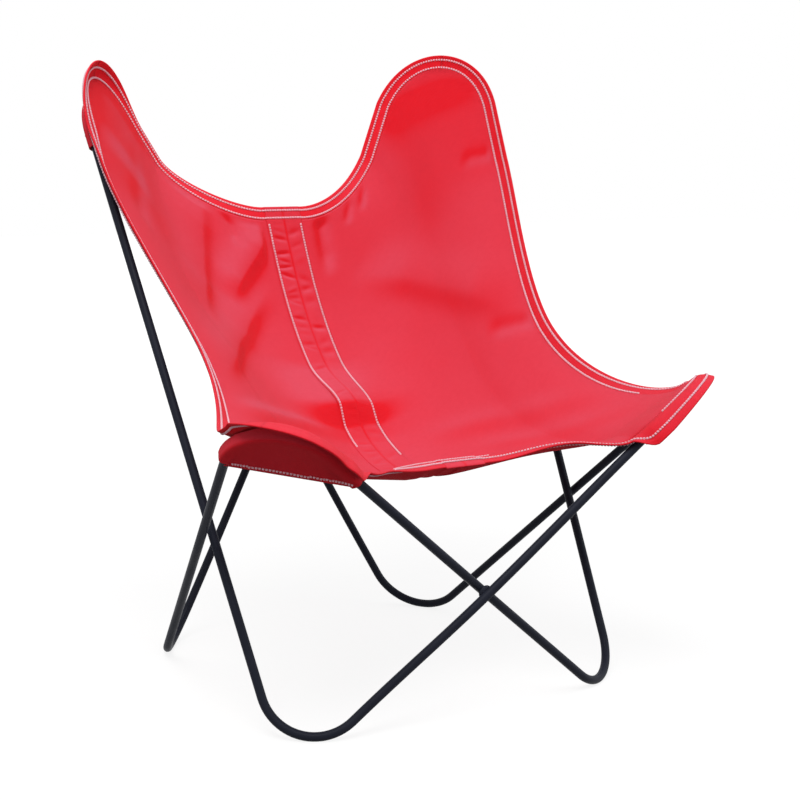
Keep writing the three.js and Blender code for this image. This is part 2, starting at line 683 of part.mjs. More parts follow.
// Second layer of a lobe: sewn on along the hem, it wraps the rod from outside and ends in a straight mouth.
function makePocket(stations, bend, firstEnd, lastEnd) {
  const mouth = [firstEnd, lastEnd].map(([along, run]) => (
    moved(bend.corner, along, run).addScaledVector(bend.normal, -POCKET_DROP - GAP)
  ));
  const hang = 2 * CLOTH + 6 * GAP;
  const places = stations.map((station, i) => {
    const target = between(mouth[0], mouth[1], i / (stations.length - 1));
    const { axisPoint, out, overhang } = nearestRod(bend, station.edge);
    const place = (distance, height) => moved(axisPoint, out, distance).addScaledVector(bend.normal, height);
    const row = [];
    if (overhang > POCKET_CLEAR) {
      const share = Math.max(0, (POCKET_CLEAR - overhang + HEM_WIDTH) / HEM_WIDTH);
      const tilt = 2 * station.curl * share / HEM_WIDTH;
      const sewn = overhang - HEM_WIDTH * (1 - share) + hang * tilt / Math.hypot(1, tilt);
      const height = CLOTH_LIFT + station.curl * share ** 2 - hang / Math.hypot(1, tilt);
      row.push(place(sewn, height), place((sewn + POCKET_WRAP[0].out) / 2, height / 2));
    } else {
      const hug = POCKET_DROP - EASE / 2;
      const top = clamp(overhang + 4 * EASE, 0, 0.9 * hug);
      row.push(place(top, Math.sqrt(hug ** 2 - top ** 2)));
      row.push(place(0.5 * (top + POCKET_WRAP[0].out) + EASE, 0.6 * POCKET_DROP));
    }
    POCKET_WRAP.forEach((step) => row.push(place(step.out, step.height)));
    const under = row[row.length - 1];
    POCKET_INSIDE.forEach((share) => row.push(between(under, target, share)));
    row.push(between(under, target, Math.max(0.85, 1 - MOUTH_STITCH / under.distanceTo(target))), target);
    return row;
  });
  const middle = Math.floor(places.length / 2);
  const inner = gridNormal(places, middle, places[0].length - 1, bend.normal);
  const sense = places.map((row, r) => row.map((at, c) => ({ at, up: gridNormal(places, r, c, inner) })));
  return sense.map((row) => row.map((spot, c) => {
    const outside = c < 3;
    const out = direction(bend.centre, spot.at);
    const wrong = outside && spot.up.dot(out) > 0;
    return wrong ? { at: spot.at, up: spot.up.negate() } : spot;
  }));
}

const halves = { left: makeHalf('left'), right: makeHalf('right') };
const seamRows = makeSeamRows();

// Assembly

const chair = new THREE.Group();
const add = (name, geometry, material) => {
  const mesh = new THREE.Mesh(geometry, material);
  mesh.name = name;
  chair.add(mesh);
};

add('frame_loop_a', makeRod(loopA), STEEL);
add('frame_loop_b', makeRod(loopB), STEEL);
add('front_cross_weld', makeWeld(bendPoint(loopA.bends[1], 1), bendPoint(loopA.bends[2], 0)), STEEL);
add('rear_cross_weld', makeWeld(bendPoint(loopA.bends[3], 1), bendPoint(loopA.bends[0], 0)), STEEL);

add('centre_seam_strip', makeSheet([
  seamRows.map((spot) => [-SEAM_HALF, 0, SEAM_HALF].map((x) => aside(spot, x))),
]), CANVAS);
for (const [name, { grids, rows }] of Object.entries(hemStretches(halves))) {
  const under = grids.map((grid) => grid.map((row) => row.slice(INNER_ROW)));
  add(`${name}_edge_facing`, makeSheet(under, -CLOTH - GAP), CANVAS);
  add(`${name}_outer_stitching`, makeThread(rows.map((row) => row[OUTER_ROW])), THREAD);
  add(`${name}_inner_stitching`, makeThread(rows.map((row) => row[INNER_ROW])), THREAD);
}

for (const [side, sign] of [['left', -1], ['right', 1]]) {
  const { field, hems, pockets } = halves[side];
  add(`${side}_panel`, makeSheet([field, hems.top, hems.outer, hems.front]), CANVAS);
  const stitched = seamRows.slice(HEM_SHARES.length - 1, 1 - HEM_SHARES.length);
  add(`${side}_seam_stitching`, makeThread(stitched.map((spot) => aside(spot, sign * SEAM_STITCH))), THREAD);
  for (const [end, pocket] of Object.entries(pockets)) {
    add(`${end}_${side}_pocket`, makeSheet([pocket]), CANVAS);
    const line = pocket.slice(3, -3).map((row) => row[row.length - 2]);
    const below = line.map((spot) => ({ at: spot.at, up: spot.up.clone().negate() }));
    add(`${end}_${side}_mouth_stitching`, makeThread(below), THREAD);
  }
}

// The origin is on the floor, under the middle of the chair's box.
const box = new THREE.Box3().setFromObject(chair, true);
const middle = box.getCenter(new THREE.Vector3());
chair.position.set(-middle.x, -middle.y, 0);

export default chair;
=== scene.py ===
"""Looks of a butterfly sling chair: smooth painted rods, a sewn canvas sling and a plain studio."""

import math

import bpy
import numpy as np
from bpy.props import FloatProperty, FloatVectorProperty, PointerProperty
from mathutils import Matrix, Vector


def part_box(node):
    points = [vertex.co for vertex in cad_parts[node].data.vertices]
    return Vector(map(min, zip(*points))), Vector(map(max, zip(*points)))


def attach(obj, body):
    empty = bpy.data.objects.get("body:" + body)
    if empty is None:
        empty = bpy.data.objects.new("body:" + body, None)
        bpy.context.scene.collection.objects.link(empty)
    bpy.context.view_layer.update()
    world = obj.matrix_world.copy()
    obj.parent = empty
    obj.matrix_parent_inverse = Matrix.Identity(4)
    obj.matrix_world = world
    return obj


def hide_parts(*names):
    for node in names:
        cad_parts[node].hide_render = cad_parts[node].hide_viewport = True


bl_info = {
    "name": "Butterfly Sling Chair",
    "version": (1, 0, 0),
    "blender": (4, 5, 0),
    "location": "View3D > Sidebar > Chair",
    "description": "Dresses the packed chair with smooth rods, a sewn canvas sling and a studio",
    "category": "Object",
}

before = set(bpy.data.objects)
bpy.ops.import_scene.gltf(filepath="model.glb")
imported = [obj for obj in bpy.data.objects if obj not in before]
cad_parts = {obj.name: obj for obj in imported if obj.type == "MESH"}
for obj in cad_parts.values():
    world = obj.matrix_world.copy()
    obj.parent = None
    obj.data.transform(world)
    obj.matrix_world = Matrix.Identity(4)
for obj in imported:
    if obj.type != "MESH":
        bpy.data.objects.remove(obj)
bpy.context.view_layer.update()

# Millimetres and degrees, in the chair's own mirror frame: x = 0 is the middle plane, and the sitter faces
# -y. These are the sizes of the part's source.
ROD_RADIUS = 6.0
FRONT_FOOT = (268.0, -235.0)
REAR_FOOT = (224.0, 249.0)
FRONT_TIP = np.array([371.0, -330.0, 474.0])
BACK_TIP = np.array([340.0, 339.0, 955.0])
FRONT_FOOT_RADIUS = 70.0
REAR_FOOT_RADIUS = 75.0
FRONT_TIP_RADIUS = 72.0
BACK_TIP_RADIUS = {"left": 75.0, "right": 62.0}
GROUND_FLAT = 0.6
CLOTH = 1.2
HEM_WIDTH = 20.0
SEAM_HALF = 32.0
GAP = 0.3
EASE = 1.0
TOP_EDGE = np.array([0.0, 276.0, 640.0])
CREASE = np.array([0.0, 85.0, 372.0])
FRONT_EDGE = np.array([0.0, -214.0, 343.0])
BACK_LEAN = 22.7
CREASE_SLOPE = 34.0
FRONT_RISE = 39.0
BACK_HANDLES = (115.0, 110.0)
SEAT_HANDLES = (130.0, 112.0)
WAIST = np.array([284.0, -29.0, 478.0])
WAIST_DROP = 41.0
TOP_RUN_OVERHANG = {"left": 25.0, "right": 28.0}
SIDE_RUN_OVERHANG = 33.0
BACK_INNER_OVERHANG = {"left": 20.0, "right": 38.0}
BACK_OUTER_OVERHANG = {"left": 25.0, "right": 36.0}
BACK_TIP_OVERHANG = {"left": 48.0, "right": 50.0}
BACK_CURLS = {"left": (2.0, 18.0, 0.0, 8.0), "right": (6.0, 6.0, 6.0, 6.0)}
FRONT_SIDE_OVERHANG = {"left": 16.0, "right": 10.0}
FRONT_INNER_OVERHANG = {"left": 26.0, "right": 31.0}
FRONT_TIP_OVERHANG = {"left": 33.0, "right": 47.0}
FRONT_CURLS = {"left": (24.0, -17.0, -26.0), "right": (-10.0, -16.0, -26.0)}
FRONT_BULGE = {"left": 7.0, "right": 6.0}
FLANK_OVERHANG = {"left": 17.0, "right": 14.0}
LIP_RISE = {"left": 0.0, "right": 10.0}
FRONT_LOBE_START = 0.25
CURL_FROM = 14.0
TOP_RUN = 290.0
SIDE_RUN = 290.0
FRONT_RUN = 205.0
TOP_HANDLES = {"left": (45.0, 38.0), "right": (48.0, 48.0)}
SIDE_HANDLES = (80.0, 80.0, 120.0, 50.0)
FRONT_HANDLES = (40.0, 70.0)
SEAM_PULL = 0.25
TOP_PULL = 0.6
SIDE_PULL = 0.2
TAUTNESS = 1.0
BACK_POCKET_OUTER = {"left": 240.0, "right": 258.0}
BACK_POCKET_INNER = 250.0
FRONT_POCKET_SIDE = 160.0
FRONT_POCKET_INNER = {"left": 206.0, "right": 188.0}
FRONT_POCKET_END = {"left": 206.0, "right": 168.0}
MOUTH_STITCH = 8.0
SEAM_STITCH = 27.0
CLOTH_LIFT = ROD_RADIUS + EASE + 2 * GAP + 1.5 * CLOTH
POCKET_DROP = ROD_RADIUS + EASE + GAP + 0.5 * CLOTH
# Points of a pocket's section round the rod: their distances outwards from its centre line and above it.
POCKET_WRAP = (
    (POCKET_DROP + GAP, -0.2 * ROD_RADIUS), (0.8 * POCKET_DROP, -0.8 * POCKET_DROP),
    (0.3 * POCKET_DROP, -POCKET_DROP - GAP), (-0.7 * POCKET_DROP, -POCKET_DROP - GAP),
)

# A place above the seat, the ways across and up, the sign of x on each side, and a millimetre in metres.
SEAT_SIDE = np.array([0.0, -50.0, 480.0])
CROSS = np.array([1.0, 0.0, 0.0])
UP = np.array([0.0, 0.0, 1.0])
SIGN = {"left": -1, "right": 1}
MM = 0.001

# What follows is in the finished surfaces only. First the roll of the front lip, and the shares of its run
# between which it grows.
LIP_CURL = -16.0
LIP_CURL_SPAN = (0.35, 0.9)
# Folds of each panel: a line of places as shares of its width and height, how high it stands in millimetres
# (below nought for a hollow), and how far it spreads to its left and right as it runs. Hollows where a back
# lobe lies on its rod are flattened in the shape and kept only as painted shade.
FOLD_SPAN = (340.0, 740.0)
FOLDS = {
    "left": (
        (((0.28, -0.06), (0.305, 0.07), (0.35, 0.157), (0.415, 0.253), (0.60, 0.40)), 6.0, (46.0, 15.0)),
        (((-0.03, 0.0), (0.01, 0.037), (0.08, 0.10), (0.185, 0.183), (0.27, 0.26)), 8.0, (30.0, 13.0)),
        (((0.04, 0.16), (0.11, 0.22), (0.305, 0.36), (0.60, 0.50), (0.93, 0.65)), 7.5, (42.0, 15.0)),
        (((0.99, 0.75), (0.585, 0.657), (0.295, 0.62), (0.02, 0.613)), 4.0, (24.0, 16.0)),
        (((0.84, -0.04), (0.79, 0.05), (0.80, 0.18)), -12.0, (60.0, 40.0)),
        (((0.66, 0.04), (0.715, 0.127), (0.75, 0.18), (0.85, 0.30)), -4.0, (16.0, 16.0)),
        (((0.20, -0.02), (0.16, 0.03), (0.13, 0.09)), -3.0, (8.0, 8.0)),
    ),
    "right": (
        (((0.18, 0.17), (0.29, 0.22), (0.455, 0.30), (0.62, 0.39), (0.79, 0.483), (0.93, 0.56)),
         8.0, (42.0, 22.0)),
        (((1.03, 0.226), (0.945, 0.22), (0.85, 0.205)), -2.5, (9.0, 9.0)),
        (((1.02, 0.60), (0.86, 0.57), (0.72, 0.54)), -3.0, (11.0, 11.0)),
        (((0.09, -0.06), (0.07, 0.073), (0.07, 0.16)), -5.0, (12.0, 9.0)),
        (((0.37, -0.02), (0.34, 0.02), (0.29, 0.055)), -1.8, (8.0, 8.0)),
        (((0.27, -0.02), (0.24, 0.02), (0.20, 0.06)), -1.8, (8.0, 8.0)),
        (((0.10, 0.68), (0.52, 0.713), (0.82, 0.773), (0.98, 0.82)), 2.0, (20.0, 20.0)),
        (((0.25, 0.77), (0.60, 0.81), (0.90, 0.89)), 1.6, (18.0, 18.0)),
    ),
}
# Distance beside a fold's line over which one spread turns into the other, and the shares over which a fold
# fades towards its ends and towards the edges of its panel.
RIDGE_TURN = 6.0
RIDGE_FADE = 0.3
FOLD_MARGIN = 0.03
# Painted shade on each panel, where its red is painted deeper: a line of places, how much deeper, and the
# spreads beside it.
PAINTED_SHADES = {
    "left": (
        (((0.95, -0.06), (0.945, 0.05), (0.965, 0.10), (1.0, 0.20)), 0.5, (18.0, 18.0)),
    ),
    "right": (
        (((0.58, -0.01), (0.725, 0.023), (0.81, 0.049), (0.92, 0.072), (1.06, 0.085)), 1.0, (20.0, 24.0)),
    ),
}
# How much painted shade deepens the back lobes, the hems and the groove, how far the painted light stands to
# one side, and how strongly flanks of folds show painted light and shade.
LOBE_PAINTED_SHADE = 0.3
HEM_PAINTED_SHADE = 0.5
GROOVE_PAINTED_SHADE = 0.8
PAINTED_LIGHT_SIDEWAYS = 0.45
PANEL_PAINTED_CONTRAST = 3.2
STRIP_PAINTED_CONTRAST = 2.0
# Where a panel's back lobe begins to lie on its rod, by shares of the panel's width and height.
ON_ROD_ACROSS = (0.5, 0.65)
ON_ROD_DOWN = (0.18, 0.30)
# Fold over the middle strip: where it rises and drops by shares of the seam, and the dip that comes after.
CREST = 19.5
CREST_RISE = (0.38, 0.53)
CREST_DROP = (0.535, 0.60)
DIP = 5.5
DIP_START = (0.57, 0.65)
DIP_END = (0.68, 0.85)
CREST_REACH = 70.0
CREST_LEAN = 150.0
# Middle strip: half its width, its turned ends, how it lies on the panels, the distances beside it over which
# a panel's own folds grow, and the lap of the panels underneath.
STRIP_HALF = 30.0
STRIP_FOLD = 2.0
STRIP_LIFT = 0.7
STRIP_CROWN = 0.4
STRIP_EDGE = 1.5
BESIDE_STRIP = (4.0, 16.0)
LAP = 10.0
# Added to the distance from a pocket's mouth, so that it puckers as a hem does a little way in from its edge.
MOUTH_INSET = 6.0
# Wrinkles of the strip: for each half its sign, their count, and their least and greatest spread. Then where
# they start, the length left free, where they are full grown, and their strength towards the front.
WRINKLES = ((-1, 46, 2.6, 4.6), (1, 26, 4.0, 7.5))
WRINKLE_START = 20.0
WRINKLE_FREE = 60.0
WRINKLE_GROWN = 50.0
WRINKLE_HEIGHTS = (-1.0, 0.3)
WRINKLE_SLANT = 0.45
WRINKLE_FADE = (0.3, 0.5)
WRINKLE_FRONT = 0.35
GROOVE_SPREAD = 1.7

# Rows of stitches: their places across the hem, and their starts and ends as shares of their lines.
INNER_SHARE = 0.15
OUTER_SHARE = 0.75
WHOLE_ROW = {"left": 1.0, "right": 1.0}
LIP_OUTER_END = {"left": 0.30, "right": 1.0}
LIP_INNER_END = {"left": 0.24, "right": 0.06}
LIP_LOBE_START = 0.74
SIDE_OUTER_END = {"left": 0.93, "right": 1.0}
SIDE_INNER_END = {"left": 0.86, "right": 0.86}
SEAM_ROW_END = {"left": 0.65, "right": 0.70}
# One stitch: rings along it as shares of the pitch, with their lift and girth as shares of the width.
STITCH_RINGS = np.array([-0.42, -0.3024, 0.3024, 0.42])
STITCH_LIFT = np.array([-0.35, 0.22, 0.22, -0.35])
STITCH_GIRTH = np.array([0.55, 1.0, 1.0, 0.55])
STITCH_FLATNESS = 0.7
STITCH_SIDES = 6

# Width and length in metres of the cloth that each pocket is cut from, and its area in square metres.
POCKET_FLAT = {
    ("left", "back"): ((0.190, 0.120), 0.0145), ("right", "back"): ((0.190, 0.150), 0.0200),
    ("left", "front"): ((0.175, 0.090), 0.0115), ("right", "front"): ((0.160, 0.095), 0.0110),
}

# Shares of the canvas colour's red, green and blue at the ends of its painted light and shade, which also
# carry
# its uneven tone: deepest in painted shade, palest in painted light.
DEEP_SHADE_AND_DYE = (1.03, 0.22, 0.30)
PALE_LIGHT_AND_DYE = (0.96, 2.0, 1.95)

# Steps of the finished surfaces.
ARC_STEPS = 28
RUN_STEPS = 32
ROD_SIDES = 28
SETTLE_STEPS = 60
SEAM_STEPS = 600
EDGE_STEPS = 96
U_STEPS = 130
U_CROWDING = 1.15
V_STEPS = 190
V_CROWDING = 0.04
HEM_STEPS = 8
TURN_STEPS = 6
LAP_STEPS = 3
STRIP_ROWS = 420
STRIP_COLUMNS = 41
END_STEPS = 8
POCKET_STEPS = 200
POCKET_CURVE_STEPS = 5
ROW_STEPS = 500
MIDDLE_STEPS = 24
SEAM_ROW_START = 4
MOUTH_ROW_MARGIN = 12
FLOOR_POINTS = 7

# Half the width of the floor, in metres.
FLOOR_HALF = 9.0

# Camera of the photograph, in the same millimetres.
EYE = np.array([-1243.7, -2020.3, 765.7])
LOOK = np.array([0.5299, 0.8331, -0.1588])
ROLL = 0.57
LENS = 77.04


class RodSettings(bpy.types.PropertyGroup):
    """Paint of the bent rods."""

    paint: FloatVectorProperty(
        name="Paint", description="Colour of the painted rods", subtype="COLOR",
        default=(0.016, 0.018, 0.028), min=0, max=1,
    )
    roughness: FloatProperty(
        name="Roughness", description="Mean roughness of the paint", subtype="FACTOR",
        default=0.42, min=0, max=1,
    )


class ClothSettings(bpy.types.PropertyGroup):
    """Canvas of the sling."""

    canvas: FloatVectorProperty(
        name="Canvas", description="Colour of the canvas", subtype="COLOR",
        default=(0.700, 0.034, 0.056), min=0, max=1,
    )
    yarn: FloatProperty(
        name="Yarn", description="Distance between two yarns of the weave", unit="LENGTH",
        default=0.0009, min=0.0002, max=0.01,
    )
    pucker: FloatProperty(
        name="Pucker", description="Height of the wrinkles across the middle strip", unit="LENGTH",
        default=0.0026, min=0, max=0.005,
    )


class StitchSettings(bpy.types.PropertyGroup):
    """Sewing thread."""

    thread: FloatVectorProperty(
        name="Thread", description="Colour of the thread", subtype="COLOR",
        default=(0.90, 0.48, 0.57), min=0, max=1,
    )
    pitch: FloatProperty(
        name="Pitch", description="Distance between two stitches", unit="LENGTH",
        default=0.0042, min=0.001, max=0.02,
    )
    width: FloatProperty(
        name="Width", description="Width of the thread", unit="LENGTH",
        default=0.0032, min=0.0002, max=0.005,
    )


class StudioSettings(bpy.types.PropertyGroup):
    """Light and floor."""

    floor: FloatVectorProperty(
        name="Floor", description="Colour of the floor", subtype="COLOR",
        default=(0.18, 0.18, 0.18), min=0, max=1,
    )
    key: FloatProperty(
        name="Key", description="Power of the main lamp", unit="POWER", default=86.0, min=0,
    )
    fill: FloatProperty(
        name="Fill", description="Power of the lamp on the shaded side", unit="POWER", default=22.0, min=0,
    )
    sky: FloatProperty(
        name="Sky", description="Strength of the light from all round", default=0.55, min=0,
    )


# Vectors


def unit(vectors):
    """Vectors divided by their lengths."""
    return vectors / np.linalg.norm(vectors, axis=-1, keepdims=True)


def dot(a, b):
    """Sum of the products of the vectors' parts."""
    return np.sum(a * b, axis=-1)


def smooth(share):
    """Eased share, level at both ends: three times its square less twice its cube."""
    return share * share * (3 - 2 * share)


def ramp(value, low, high):
    """Eased step from nought at the low value to one at the high one."""
    return smooth(np.clip((value - low) / (high - low), 0, 1))


def blend(a, b, share):
    """Places on the straight line from one point to the other."""
    share = np.asarray(share, float)[..., None]
    return a * (1 - share) + b * share


def square_to(vector, axis):
    """Vector less its part along a unit axis."""
    return vector - dot(vector, axis)[..., None] * axis


def mirrored(points):
    """Points on the other side of the middle plane."""
    return points * np.array([-1.0, 1.0, 1.0])


def slope(degrees):
    """Unit vector towards the front that falls by the given angle."""
    angle = math.radians(degrees)
    return np.array([0.0, -math.cos(angle), -math.sin(angle)])


def bezier(a, b, c, d, share):
    """Points of a cubic curve with two ends and two handles."""
    t = np.asarray(share, float)[..., None]
    return a * (1 - t) ** 3 + 3 * b * t * (1 - t) ** 2 + 3 * c * t**2 * (1 - t) + d * t**3


def lengths_along(points):
    """Distances from the first row of points, as sums of the steps from row to row."""
    steps = np.linalg.norm(np.diff(points, axis=0), axis=-1)
    return np.concatenate([np.zeros((1,) + steps.shape[1:]), np.cumsum(steps, axis=0)])


def lengths_across(grid):
    """Distances from the first column of a grid, as sums of the steps from column to column."""
    return np.swapaxes(lengths_along(np.swapaxes(grid, 0, 1)), 0, 1)


def sampled(values, places, wanted):
    """Rows of a table read at wanted places by straight lines between its own."""
    flat = values.reshape(len(values), -1)
    columns = [np.interp(wanted, places, column) for column in flat.T]
    return np.stack(columns, axis=-1).reshape(np.shape(wanted) + values.shape[1:])


# Frame


class Bend:
    """A bend of the rod at a corner, between the straight runs towards two other corners."""

    def __init__(self, corner, first, second, radius):
        self.corner = np.asarray(corner, float)
        self.radius = radius
        self.to_first = unit(first - self.corner)
        self.to_second = unit(second - self.corner)
        self.axis = unit(self.to_first + self.to_second)
        self.half = math.acos(float(dot(self.to_first, self.to_second))) / 2
        self.normal = unit(np.cross(self.to_first, self.to_second))
        if dot(self.normal, SEAT_SIDE - self.corner) < 0:
            self.normal = -self.normal
        self.out_first = -unit(square_to(self.to_second, self.to_first))
        self.out_second = -unit(square_to(self.to_first, self.to_second))
        self.centre = self.corner + self.axis * radius / math.sin(self.half)
        self.tangent_run = radius / math.tan(self.half)

    def spoke(self, share):
        """Unit vectors from the bend's centre to its arc: share 0 is at the first run, 1 at the second."""
        angle = np.asarray(share, float)[..., None] * (math.pi - 2 * self.half)
        sweep = -unit(square_to(self.axis, self.out_first))
        return self.out_first * np.cos(angle) + sweep * np.sin(angle)

    def arc(self, share):
        """Places on the bent rod's centre line: the bend's centre and a radius along each spoke."""
        return self.centre + self.spoke(share) * self.radius

    def nearest(self, points):
        """Places on the rod's centre line next to a lobe's edge, with the ways outwards and the overhangs."""
        flat = square_to(points - self.corner, self.normal)
        runs = []
        for along, out in ((self.to_first, self.out_first), (self.to_second, self.out_second)):
            run = dot(flat, along)
            over = dot(flat, out)
            beside = (run > self.tangent_run) & (over > -self.radius)
            place = self.corner + run[..., None] * along
            runs.append((beside, place, np.broadcast_to(out, flat.shape), over))
        spoke = flat + self.corner - self.centre
        over = np.linalg.norm(spoke, axis=-1) - self.radius
        out = unit(spoke)
        found = [self.centre + out * self.radius, out, over]
        for beside, place, way, distance in reversed(runs):
            found[0] = np.where(beside[..., None], place, found[0])
            found[1] = np.where(beside[..., None], way, found[1])
            found[2] = np.where(beside, distance, found[2])
        return found


def foot_corner(x, y, first, second, radius):
    """Corner of a foot, at the height that puts the bend's lowest point on the floor."""
    corner = np.array([x, y, 0.0])
    for _ in range(SETTLE_STEPS):
        bend = Bend(corner, first, second, radius)
        lowest = bend.centre[2] - radius * math.sqrt(1 - bend.normal[2] ** 2)
        corner[2] += ROD_RADIUS - GROUND_FLAT - lowest
    return corner


FOOT_FRONT_RIGHT = foot_corner(*FRONT_FOOT, BACK_TIP, mirrored(FRONT_TIP), FRONT_FOOT_RADIUS)
FOOT_REAR_RIGHT = foot_corner(*REAR_FOOT, FRONT_TIP, mirrored(BACK_TIP), REAR_FOOT_RADIUS)


def run_points(start, end, share, side):
    """Straight run. One that crosses the middle plane is sprung aside by a rod's radius at the crossing."""
    if start[0] * end[0] > 0:
        return blend(start, end, share)
    crossing = start[0] / (start[0] - end[0])
    place = np.where(share > 0.5, crossing + (1 - crossing) * (2 * share - 1), crossing * 2 * share)
    run = unit(end - start)
    normal = unit(np.array([0.0, -run[2], run[1]]))
    normal = normal * np.sign(normal[1]) * side
    bow = np.sin(math.pi * share) ** 2 * (ROD_RADIUS + GAP / 2)
    return blend(start, end, place) + bow[:, None] * normal


def loop_line(corners, back_side, side):
    """Closed centre line of one rod: an arc at each corner and a run to the next."""
    count = len(corners)
    radii = (BACK_TIP_RADIUS[back_side], FRONT_FOOT_RADIUS, FRONT_TIP_RADIUS, REAR_FOOT_RADIUS)
    bends = [Bend(corners[i], corners[i - 1], corners[(i + 1) % count], radii[i]) for i in range(count)]
    pieces = []
    for bend, following in zip(bends, bends[1:] + bends[:1]):
        pieces.append(bend.arc(np.linspace(0, 1, ARC_STEPS + 1)[:-1]))
        share = np.linspace(0, 1, RUN_STEPS + 1)[:-1]
        pieces.append(run_points(bend.arc(1), following.arc(0), share, side))
    return np.concatenate(pieces)


LOOP_A = loop_line([mirrored(BACK_TIP), mirrored(FOOT_FRONT_RIGHT), FRONT_TIP, FOOT_REAR_RIGHT], "left", -1)
LOOP_B = loop_line([BACK_TIP, FOOT_FRONT_RIGHT, mirrored(FRONT_TIP), mirrored(FOOT_REAR_RIGHT)], "right", 1)


def frame_shift():
    """Way from the chair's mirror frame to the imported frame, from the two rods' places in both."""
    corners = np.array([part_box("frame_loop_a"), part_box("frame_loop_b")]).reshape(-1, 3) / MM
    lines = np.concatenate([LOOP_A, LOOP_B])
    shift = (corners.min(0) + corners.max(0) - lines.min(0) - lines.max(0)) / 2
    return shift * np.array([1.0, 1.0, 0.0])


SHIFT = frame_shift()


def tube(line, radius, sides):
    """Round tube: a circle carried along a closed line. Its two directions are taken from the chair's middle,
    so they never flip."""
    along = unit(np.roll(line, -1, axis=0) - np.roll(line, 1, axis=0))
    across = unit(np.cross(along, line - SEAT_SIDE))
    up = np.cross(across, along)
    angle = np.linspace(0, 2 * math.pi, sides, endpoint=False)[None, :, None]
    return line[:, None] + radius * (across[:, None] * np.cos(angle) + up[:, None] * np.sin(angle))


# Sling


def seam_curve():
    """Middle line of the sling inside its hems, as points with their shares of its length."""
    back_way, crease_way, front_way = slope(90 - BACK_LEAN), slope(CREASE_SLOPE), slope(-FRONT_RISE)
    top = TOP_EDGE + back_way * HEM_WIDTH
    front = FRONT_EDGE - front_way * HEM_WIDTH
    t = np.linspace(0, 1, SEAM_STEPS)
    back = bezier(top, top + back_way * BACK_HANDLES[0], CREASE - crease_way * BACK_HANDLES[1], CREASE, t)
    seat_end = front - front_way * SEAT_HANDLES[1]
    seat = bezier(CREASE, CREASE + crease_way * SEAT_HANDLES[0], seat_end, front, t)
    points = np.concatenate([back, seat[1:]])
    lengths = lengths_along(points)
    return points, lengths / lengths[-1], lengths[-1]


SEAM, SEAM_SHARES, SEAM_LENGTH = seam_curve()
TOP_HEM, FRONT_HEM = SEAM[0], SEAM[-1]


def seam_at(v):
    """Places on the middle line at shares of its length."""
    return sampled(SEAM, SEAM_SHARES, v)


def seam_way(v):
    """Ways along the middle line, from two places close to each other."""
    small = 0.002
    return unit(seam_at(np.clip(v + small, 0, 1)) - seam_at(np.clip(v - small, 0, 1)))


def upward(way):
    """Side of the cloth that faces the sitter, where the middle line goes the given way."""
    return unit(np.cross(way, CROSS))


def beside_seam(points):
    """Points of the middle line moved to where the right-hand panel starts."""
    return points + CROSS * (SEAM_HALF + GAP)


def round_lobe(values, share):
    """Overhang or curl round a lobe: from one run's value to the other's, with its own at the tip."""
    start, middle, end = values
    return start + (end - start) * share + np.sin(math.pi * share) ** 2 * (middle - (start + end) / 2)


class EdgeLine:
    """A line of hem stations read by the share of its length."""

    def __init__(self, edge, hem, normal, curl):
        lengths = lengths_along(hem)
        self.length = lengths[-1]
        self.shares = lengths / lengths[-1]
        self.table = np.concatenate([edge, hem, normal, curl[:, None]], axis=1)

    def at(self, share):
        row = sampled(self.table, self.shares, share)
        return row[..., 0:3], row[..., 3:6], unit(row[..., 6:9]), row[..., 9]


